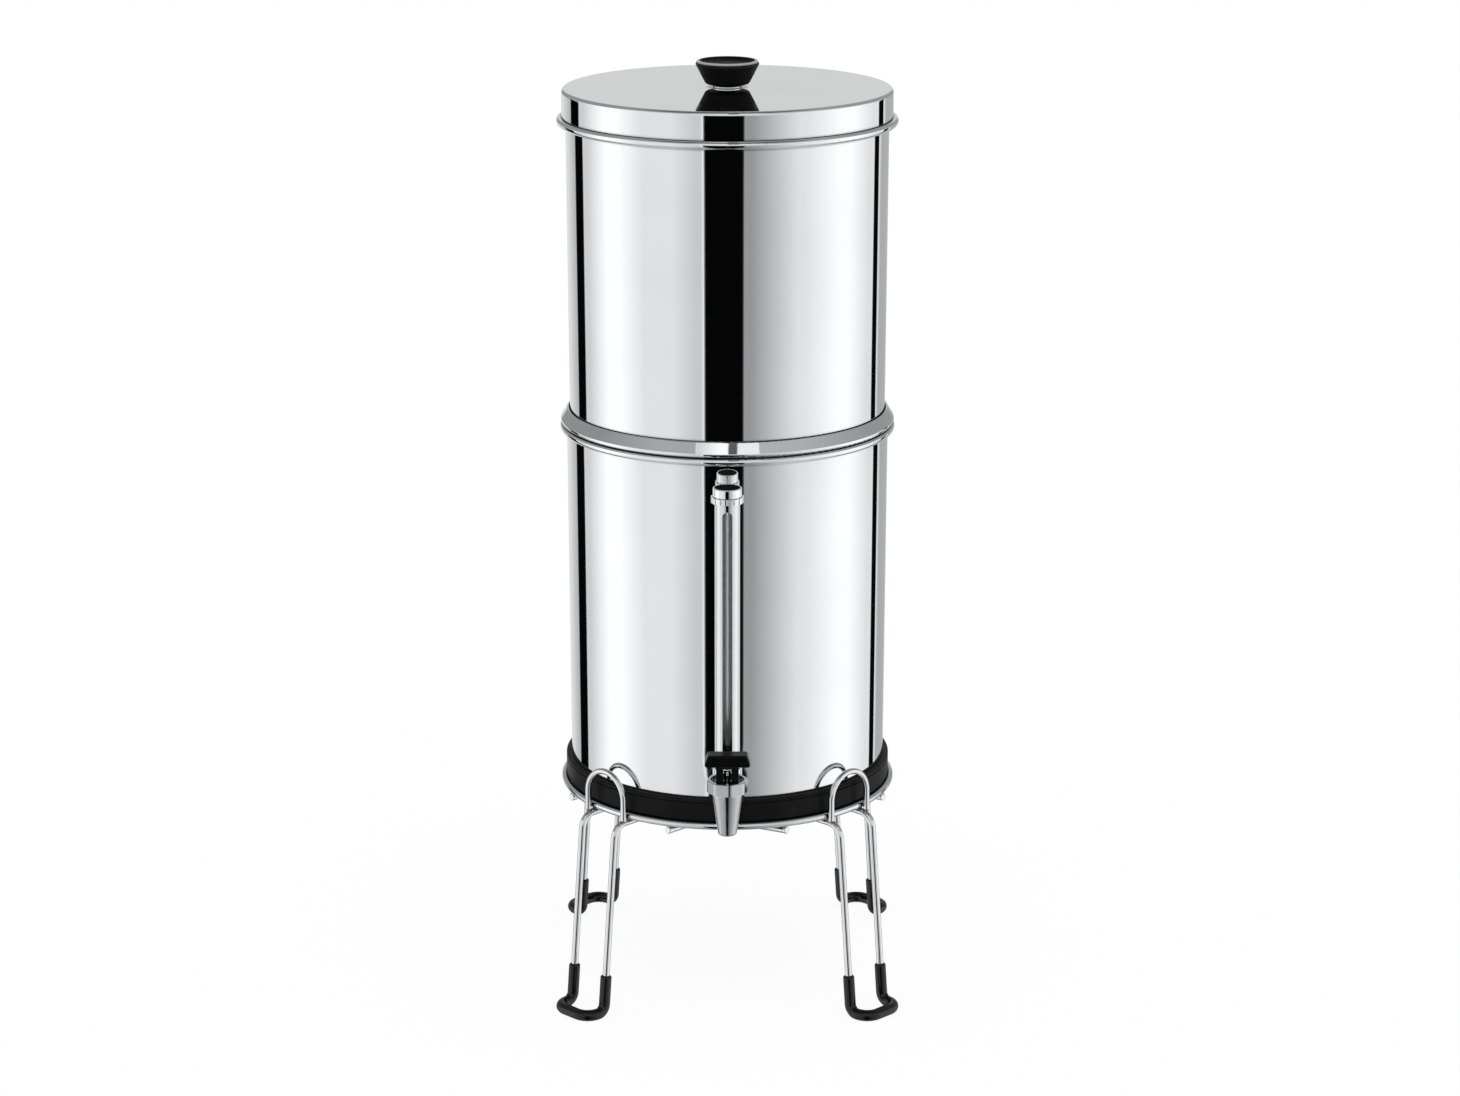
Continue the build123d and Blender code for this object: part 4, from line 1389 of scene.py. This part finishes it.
    def _ceiling(self, tree: Tree, azimuth: Socket, rise: Socket) -> Socket:
        """The dim ceiling, darkest overhead."""
        level = self._panels(tree, azimuth, self.ceiling)
        return self._mixed(tree, self._height(tree, rise, self.zenith_from), level, self.zenith)

    def _behind(self, tree: Tree, aside: Socket, rise: Socket, level: Socket) -> Socket:
        """The ceiling's level with the light stretch behind, low over the eaves."""
        share = ranged(tree, aside, *self.behind_azimuth)
        share = math_node(tree, "MULTIPLY", share, self._height(tree, rise, self.behind_height))
        return self._mixed(tree, share, level, self.behind)

    def _window(self, tree: Tree, across: Socket, back: Socket, rise: Socket, level: Socket) -> Socket:
        """The ceiling's level with the window in front.

        Args:
            tree: the world's tree.
            across: the direction's part to the right.
            back: its part to the back.
            rise: its part upwards.
            level: the ceiling's level.

        Returns:
            The level with the window.
        """
        across = math_node(tree, "DIVIDE", across, rise)
        back = math_node(tree, "DIVIDE", back, rise)
        inside = math_node(tree, "COMPARE", across, 0.0, self.window_half)
        for edge in (self.window_inner, self.window_outer):
            inside = math_node(tree, "MULTIPLY", inside, ranged(tree, back, *edge))
        return self._mixed(tree, inside, level, self._panels(tree, across, self.window))

    def _world(self, scene: bpy.types.Scene) -> None:
        """Plain white to the eye and through glass, the tent to mirrors, an even soft light to the rest."""
        world = bpy.data.worlds.new("studio")
        world.use_nodes = True
        tree = world.node_tree
        tree.nodes.clear()
        ray = node(tree, "ShaderNodeLightPath").outputs
        seen = math_node(tree, "MAXIMUM", ray["Is Camera Ray"], ray["Is Transmission Ray"])
        level = self._mixed(tree, ray["Is Glossy Ray"], self.ambient, self._tent(tree))
        level = self._mixed(tree, seen, level, 1.0)
        colour = node(tree, "ShaderNodeCombineColor", {0: level, 1: level, 2: level}).outputs[0]
        shader = node(tree, "ShaderNodeBackground", {"Color": colour, "Strength": 1.0})
        node(tree, "ShaderNodeOutputWorld", {"Surface": shader.outputs[0]})
        scene.world = world


def corners() -> list[list[float]]:
    """The shown object's two corners as plain lists."""
    return [list(corner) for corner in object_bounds()]


def main() -> None:
    """Builds and dresses the sub-assemblies in order, then the studio."""
    logging.basicConfig(level=logging.INFO, format="%(name)s: %(message)s")
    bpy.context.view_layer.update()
    stand, lower, tap, gauge, upper, lid = Stand(), LowerChamber(), Tap(), Gauge(), UpperChamber(), Lid()
    stand.build()
    lower.dress()
    tap.build()
    tap.dress()
    gauge.dress()
    upper.build()
    upper.dress()
    lid.dress()
    Studio().build()


if __name__ == "__main__":
    main()
